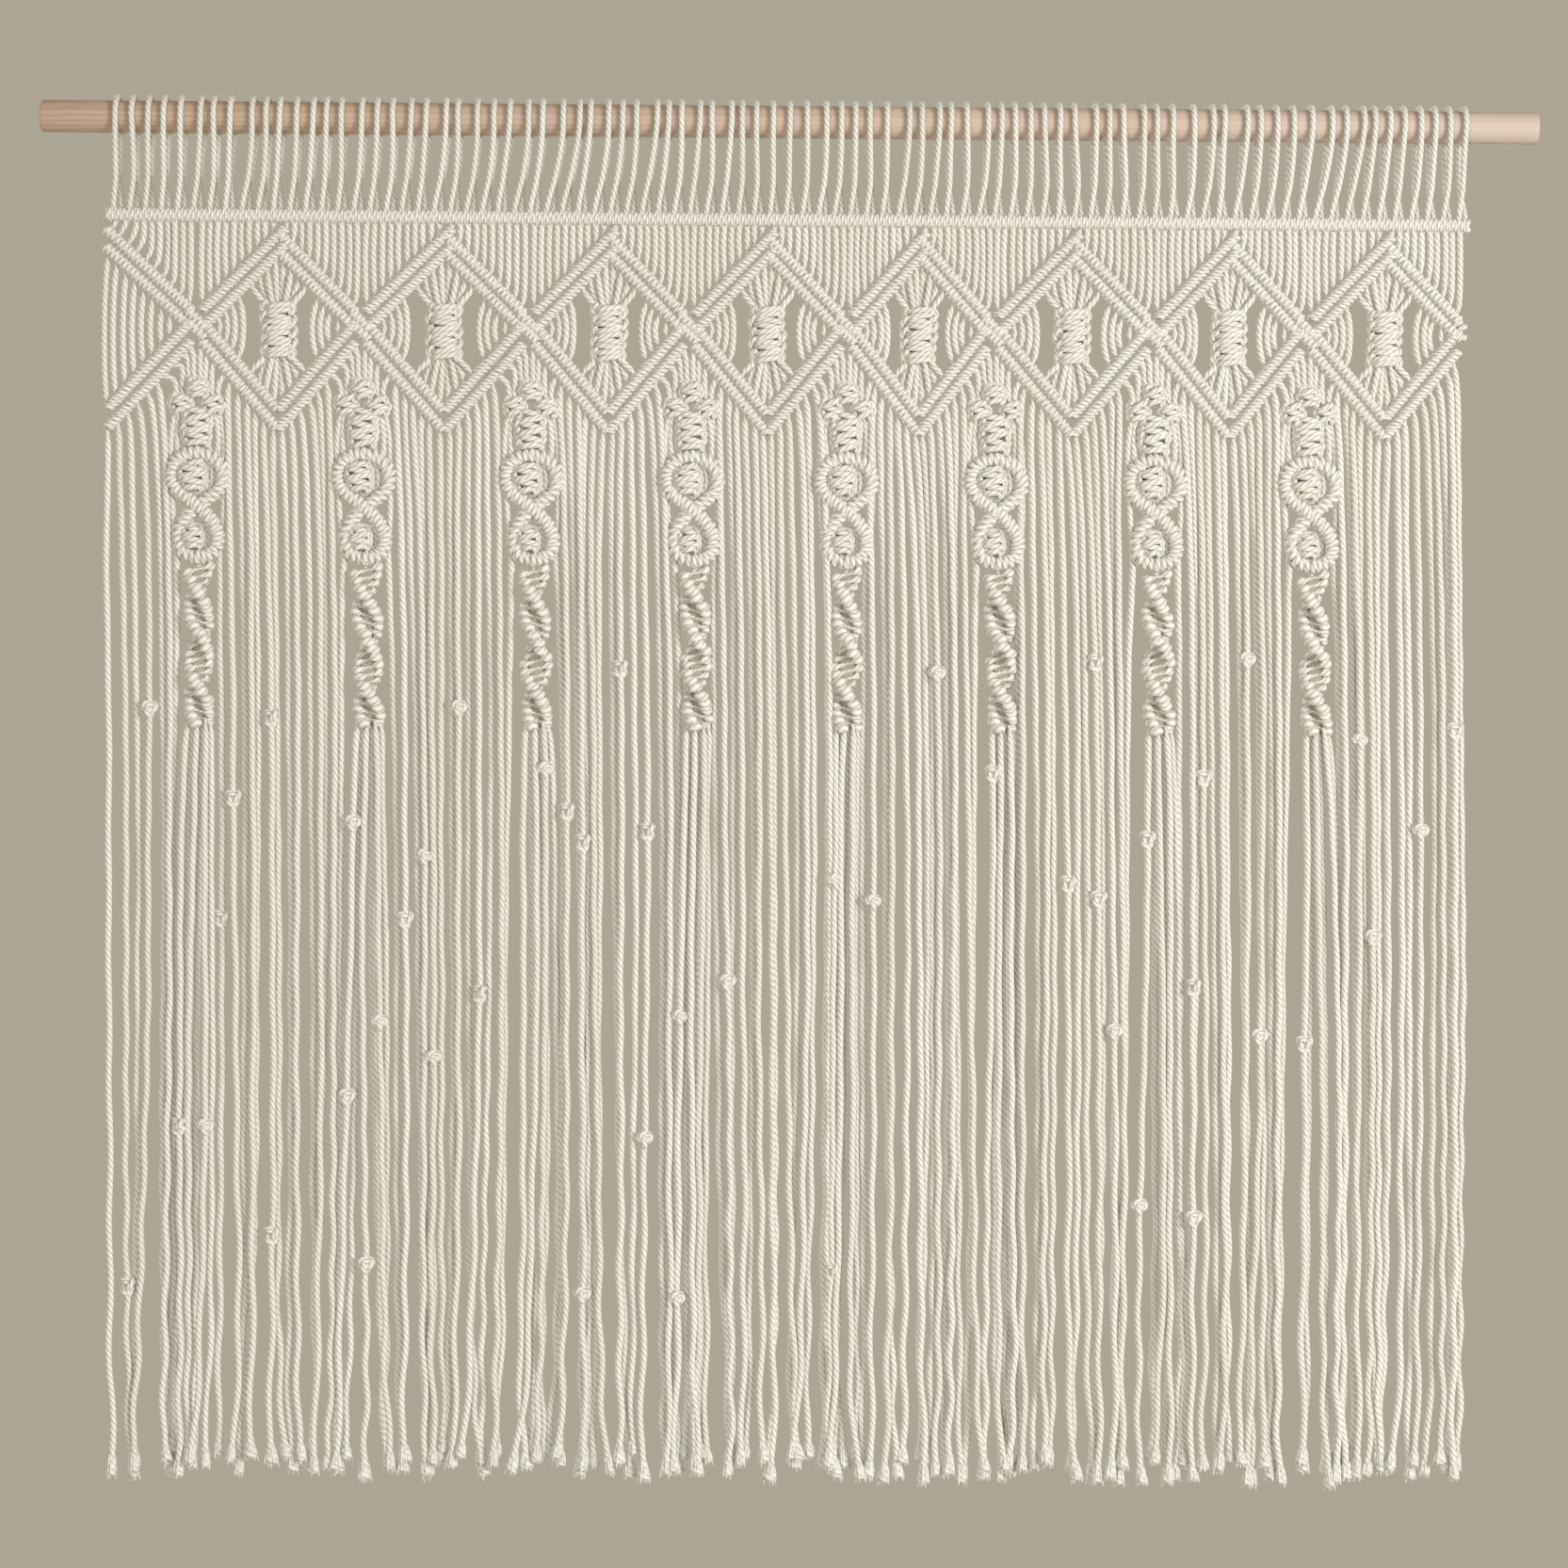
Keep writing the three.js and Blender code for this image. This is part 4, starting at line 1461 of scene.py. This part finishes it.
@dataclass
class Column:
    """A knotted column under a crossing: square knots, two rings with buttons, a twist and hanging cords.

    Heights are measured down from the plan's column height. The marks of the head's cords, from the inner
    to the outer one, are (across, behind, below) on one hand, and the outer one hangs free from its last
    mark but one. The marks of a ring's row are (across, below), and it crosses its twin between the rings.
    """

    index: int
    lean: float
    cords: FreeCords = FreeCords(lean=3.5)
    cord_radius: float = 2.05
    strand_tone: Varied = Varied(0.4, 0.3)
    strand_stations: int = 5
    root_shift: float = 0.4
    head_marks: tuple[Marks, ...] = (
        (
            (2.3, -0.4, 14), (2.2, -0.4, 25), (1.5, 0.5, 36), (6.6, -1.2, 44),
            (8.6, 0.5, 50), (2.2, 0.5, 60), (4.6, 0.5, 78),
        ),
        (
            (6.4, 0.5, 16), (5.4, 0.5, 27), (4.0, -0.5, 36), (8.0, 1.0, 44),
            (9.8, -0.5, 50), (5.0, -0.5, 61), (8.6, 0.5, 80),
        ),
        (
            (10.2, 0.5, 22), (9.8, 0.5, 34), (11.0, -0.6, 47), (12.8, 0.4, 58),
            (13.6, 0.6, 69), (12.6, 1.0, 84),
        ),
        (
            (15.2, 0.0, 31), (13.6, -0.5, 40), (13.8, 0.8, 48), (16.2, 0.6, 60),
            (17.6, 1.0, 74), (17.4, 2.0, 94), (16.8, 0.8, 114), (16.2, 1.8, 124),
            (15.2, 1.8, 133), (15.2, 1.8, 139),
        ),
    )
    head_knots: Marks = ((0.6, 36.5), (-10.2, 46.5), (10.6, 47.0))
    head_forward: float = 0.6
    head: FlatKnot = FlatKnot(
        half_width=5.2, half_depth=4.2, pitch=3.8, rows=3,
        radius=2.15, rise=1.4, ear=2.2, crown=1.4, taper=0.25, loose=0.7,
    )
    throat_below: float = 61.5
    throat_forward: float = 0.8
    throat: FlatKnot = FlatKnot(
        half_width=7.0, half_depth=4.6, pitch=4.1, rows=6,
        radius=2.2, rise=1.3, ear=2.6, crown=1.4, taper=0.16, loose=0.7,
    )
    ring_marks: Marks = (
        (-2.0, 78.2), (8.0, 80.0), (14.6, 85.5), (17.0, 93.5), (15.0, 101.5), (8.6, 107.0), (0.0, 113.5),
        (-7.0, 120.5), (-11.6, 127.0), (-13.2, 134.5), (-11.4, 142.0), (-6.0, 146.0), (2.0, 147.2),
    )
    ring_row: Row = Row(pitch=4.0, across=2.75, depth=3.2, radius=2.25, forward=1.2, per_turn=10, sides=8)
    ring_apart: float = 0.6
    ring_stations: int = 60
    ring_middles: Spot = (93.5, 134.0)
    ring_reach: Spot = (13.0, 10.0)
    buttons: tuple[FlatKnot, ...] = (
        FlatKnot(
            half_width=6.9, half_depth=4.8, pitch=3.8, rows=5,
            radius=2.2, rise=1.1, ear=1.8, crown=2.6, taper=0.34, loose=0.55,
        ),
        FlatKnot(
            half_width=5.2, half_depth=4.2, pitch=3.6, rows=4,
            radius=2.1, rise=1.0, ear=1.6, crown=2.0, taper=0.34, loose=0.55,
        ),
    )
    button_place: Spot = (-2.8, -1.8)
    button_cords: int = 6
    button_cord_reach: float = 0.72
    button_cord_back: float = 1.4
    button_cord_marks: Marks = ((0.45, -1.0), (0.9, -0.6), (1.0, 0.0), (0.9, 0.6), (0.45, 1.0))
    button_cord_tone: float = 0.7
    button_cord_stations: int = 14
    twist_top: float = 155.0
    twist_bottom: float = 258.0
    twist_pitch: float = 4.7
    twist_turns: float = 1.65
    twist_start_odd: float = 0.35
    twist_turn_odd: float = 0.12
    twist_half: float = 7.3
    twist_half_share: Varied = Varied(1.0, 0.12)
    twist_depth: float = 5.6
    twist_waist: float = 1.0
    twist_rise: Varied = Varied(2.2, 0.5)
    twist_thin: float = 0.5
    twist_knuckle: float = 1.2
    twist_tone: Varied = Varied(0.4, 0.25)
    twist_sides: int = 8
    twist_cores: tuple[float, ...] = (-3.6, -1.8, 0.0, 1.8, 3.6)
    twist_core_radius: float = 1.15
    spine_rise: float = 8.0
    spine_back: float = 2.0
    spine_radius: float = 1.8
    spine_stations: int = 12
    # Painted shade: a warmer, darker tone for the spine and the cores, where they lie behind the bands.
    shade_tone: float = 0.9
    tail_rise: float = 5.0
    tail_step: float = 2.4
    tail_back: float = 1.6
    tail_leave: float = 0.7
    hem_spread: float = 4.6
    side_leave: float = -1.4
    side_spread: float = 1.0

    @property
    def crossing(self) -> float:
        """The crossing's x."""
        return PLAN.crossings[self.index]

    def placed(self, local: Array) -> Array:
        """Points given as (across, behind, below), in the curtain's frame, leaning to one side."""
        down = local[..., 2]
        x = self.crossing + local[..., 0] + self.lean * np.clip(down / self.twist_bottom, 0.0, None)
        return points(x, local[..., 1], PLAN.column_z - down)

    def head_cords(self, work: CordWork) -> None:
        """Lays the cords from the lowest rows through the square knots, the outer two past both rings."""
        for second, hand in enumerate(HANDS):
            side = next(s for s in PLAN.sides() if s.crossing == self.crossing and s.inward == hand)
            x = PLAN.cord_x(side, np.arange(PLAN.column_cords) + self.root_shift)
            below = PLAN.column_z - (PLAN.lower(side, x) - PLAN.lower_drop)
            for rank, marks in enumerate(self.head_marks):
                root = (abs(x[rank] - self.crossing), 0.0, below[rank])
                route = self.placed(np.array([root, *marks]) * np.array([hand, 1.0, 1.0]))
                odd = uneven(Seed.HEAD_CORD + 8 * self.index + rank + 4 * second, 1)
                path = through(route[None], self.strand_stations * len(route))
                work.lay(path, self.cord_radius, FRONT, tone=self.strand_tone.by(odd))

    def head_and_throat(self, work: CordWork) -> None:
        """Ties the three small knots of the head and the longer one below them."""
        spots = np.array(self.head_knots)
        middles = self.placed(points(spots[:, 0], -self.head_forward, spots[:, 1]))
        self.head.tie(work, middles, Seed.HEAD_KNOT + 2 * self.index)
        middle = self.placed(np.array([[0.0, -self.throat_forward, self.throat_below]]))
        self.throat.tie(work, middle, Seed.THROAT_KNOT + 2 * self.index)

    def ring_rows(self, work: CordWork) -> None:
        """Winds the two rows of half hitches that close round the rings, smoothly through their marks."""
        marks = np.array(self.ring_marks)
        for second, hand in enumerate(HANDS):
            route = points(hand * marks[:, 0], self.ring_apart * hand, marks[:, 1])
            line = through(route[None], self.ring_stations)[0]
            self.ring_row.tie(work, self.placed(line), int(hand), Seed.RING_ROW + 2 * self.index + second)

    def ring_buttons(self, work: CordWork) -> None:
        """Ties a button of square knots over the cords in each ring, forward and a little to the left."""
        fan, level = np.array(self.button_cord_marks).T
        cord = np.linspace(-self.button_cord_reach, self.button_cord_reach, self.button_cords)[:, None]
        rings = zip(self.ring_middles, self.ring_reach, self.buttons)
        for number, (middle, reach, button) in enumerate(rings):
            cores = self.placed(points(cord * reach * fan, self.button_cord_back, middle + reach * level))
            paths = through(cores, self.button_cord_stations)
            work.lay(paths, self.cord_radius, FRONT, tone=self.button_cord_tone)
            spot = self.placed(np.array([[*self.button_place, middle]]))
            button.tie(work, spot, Seed.BUTTON + 4 * self.index + 2 * number)

    def twist(self, work: CordWork) -> None:
        """Winds the sennit of half knots: bands round the cores, each turned on from the one above.

        The cord swells by the square of the cosine towards a band's ends, where the real one is knuckled.
        The cores turn with the bands before a straight spine, coloured all over in the painted groove shade
        that stands for the deep shade in the twist's recesses.
        """
        count = round((self.twist_bottom - self.twist_top) / self.twist_pitch)
        share = np.linspace(0.0, 1.0, count)
        below = self.twist_top + share * (self.twist_bottom - self.twist_top)
        odd = uneven(Seed.TWIST_BAND + self.index, count)
        start = self.twist_start_odd * uneven(Seed.TWIST_START + self.index, 1)
        turn = start + share * self.twist_turns * 2 * np.pi
        paths, outward = bands(
            self.placed(points(0.0, 0.0, below)),
            self.twist_half * self.twist_half_share.by(odd),
            self.twist_depth,
            self.twist_rise.by(odd),
            turn + self.twist_turn_odd * odd,
            self.twist_waist,
        )
        radius = self.cord_radius * (self.twist_thin + self.twist_knuckle * np.cos(BAND_ANGLES) ** 2)
        tone = self.twist_tone.by(odd)
        work.lay(paths, radius, outward, self.twist_sides, closed=True, tone=tone)
        down = np.linspace(self.twist_top - self.spine_rise, self.twist_bottom, self.spine_stations)
        spine = self.placed(points(0.0, self.spine_back, down))
        work.lay(spine[None], self.spine_radius, FRONT, tone=self.shade_tone)
        aside = np.array(self.twist_cores)[:, None]
        # Painted shade: the cores are held at the groove's shade colour all over.
        cores = self.placed(points(aside * np.cos(turn), aside * np.sin(turn), below))
        work.lay(cores, self.twist_core_radius, FRONT, tone=self.shade_tone, held=GROOVE_SHADE)

    def tails(self, work: CordWork) -> None:
        """Hangs the twist's cords and the two beside it, with their small knots."""
        number = np.arange(2 * PLAN.column_cords - 2)
        layer = alternate(number)
        middle = number - (len(number) - 1) / 2
        below = self.twist_bottom - self.tail_rise
        roots = self.placed(points(self.tail_step * middle, self.tail_back * layer, below))
        hem_x = roots[:, 0] + (self.hem_spread - self.tail_step) * middle
        later = 10 * self.index
        tails = self.cords.paths(roots, self.tail_leave * middle, hem_x, layer, Seed.TAIL_CORD + later)
        hand = np.array(HANDS)
        across, back, below = self.head_marks[-1][-2]
        roots = self.placed(points(across * hand, back, below))
        hem_x = roots[:, 0] + self.side_spread * hand
        sides = self.cords.paths(roots, self.side_leave * hand, hem_x, np.ones(2), Seed.SIDE_TAIL + later)
        hanging = np.concatenate([tails, sides])
        self.cords.hang(work, hanging, Seed.COLUMN_END + 3 * self.index)
        left, right = self.crossing - PLAN.column_reach, self.crossing + PLAN.column_reach
        tie_small_knots(work, hanging, left, right, Seed.COLUMN_KNOT + self.index)

    def build(self, material: Material) -> Piece:
        """The column as one piece.

        Args:
            material: the cotton.

        Returns:
            The piece.
        """
        name = f"column_{self.index + 1}"
        work = CordWork(f"{name}_knots")
        self.head_cords(work)
        self.head_and_throat(work)
        self.ring_rows(work)
        self.ring_buttons(work)
        self.twist(work)
        self.tails(work)
        return work.piece(material, Slot.COTTON, name)


# How far each column hangs to the right of its crossing at the end of its twist.
COLUMN_LEANS = (4.0, 8.0, 8.0, 8.0, 2.5, 9.5, 7.0, 9.5)


@dataclass(frozen=True)
class Lamp:
    """A square soft lamp: its place and width in metres, and its power in watts."""

    name: str
    place: Place
    width: float
    power: float

    def hang(self, target: Vector) -> None:
        """Hangs the lamp, out of the camera's sight and aimed at a target in metres."""
        light = bpy.data.lights.new(self.name, "AREA")
        light.energy = self.power
        light.size = self.width
        lamp = bpy.data.objects.new(self.name, light)
        lamp.location = self.place
        lamp.rotation_euler = (target - Vector(self.place)).to_track_quat("-Z", "Y").to_euler()
        lamp.visible_camera = False
        bpy.context.scene.collection.objects.link(lamp)


@dataclass
class Studio:
    """A pale floor, soft light from the right, a weak fill, a light behind, and the camera in front."""

    floor_gap: float = 900.0
    floor_radius: float = 5000.0
    floor_spokes: int = 48
    floor_rings: int = 8
    distance: float = 2400.0
    frame_width: float = 1032.0
    frame_middle_z: float = -435.6
    roll: float = -0.48
    world: Colour = (0.41, 0.377, 0.305, 1.0)
    world_strength: float = 1.0
    lamps: tuple[Lamp, ...] = (
        Lamp("key_light", (2.0, -2.3, -0.1), 1.0, 64.0),
        Lamp("fill_light", (-0.7, -2.9, -0.55), 1.8, 27.5),
        Lamp("back_light", (-1.9, 2.6, 0.9), 1.4, 75.0),
    )

    def floor(self) -> None:
        """Lays a round floor: a grid of rings and spokes below the hem."""
        low = CAD_BOX[0].z / MM - self.floor_gap
        radius = np.linspace(0.0, 1.0, self.floor_rings + 1)[1:, None] * self.floor_radius
        angle = np.linspace(0, 2 * np.pi, self.floor_spokes, endpoint=False)
        grid = points(radius * np.cos(angle), radius * np.sin(angle), low).reshape(-1, 3)
        index = np.arange(len(grid)).reshape(self.floor_rings, self.floor_spokes)
        inner, outer = index[:-1], index[1:]
        quads = np.stack([inner, outer, np.roll(outer, -1, 1), np.roll(inner, -1, 1)], axis=-1)
        mesh = bpy.data.meshes.new("floor")
        mesh.from_pydata((grid * MM).tolist(), [], [*quads.reshape(-1, 4).tolist(), index[0].tolist()])
        finished("floor", mesh, FloorFinish().material())

    def lights(self) -> None:
        """Hangs the lamps round the curtain and sets the world's even glow."""
        for lamp in self.lamps:
            lamp.hang(Vector((0.0, 0.0, self.frame_middle_z * MM)))
        world = bpy.data.worlds.new("studio")
        world.use_nodes = True
        glow = world.node_tree.nodes["Background"]
        glow.inputs["Color"].default_value = self.world
        glow.inputs["Strength"].default_value = self.world_strength
        bpy.context.scene.world = world

    def camera(self) -> None:
        """Sets the camera straight in front, so far off that the frame's width just fits."""
        lens = bpy.data.cameras.new("camera")
        lens.lens = lens.sensor_width * self.distance / self.frame_width
        camera = bpy.data.objects.new("camera", lens)
        camera.location = Vector((0.0, -self.distance, self.frame_middle_z)) * MM
        camera.rotation_euler = (0.5 * math.pi, math.radians(self.roll), 0.0)
        bpy.context.scene.collection.objects.link(camera)
        bpy.context.scene.camera = camera

    def build(self) -> None:
        """Sets up floor, lights and camera, shown as they are with no film curve."""
        self.floor()
        self.lights()
        self.camera()
        bpy.context.scene.view_settings.view_transform = "Standard"


def main() -> None:
    """Builds every piece in order, then the studio."""
    logging.basicConfig(level=logging.INFO, format="%(name)s: %(message)s")
    cotton = CottonFinish().material()
    Rod().build()
    Heading().build(cotton)
    Lattice().build(cotton)
    for bay in range(len(PLAN.peaks)):
        Fringe(bay).build(cotton)
    for index, lean in enumerate(COLUMN_LEANS):
        Column(index, lean).build(cotton)
    Studio().build()


if __name__ == "__main__":
    main()
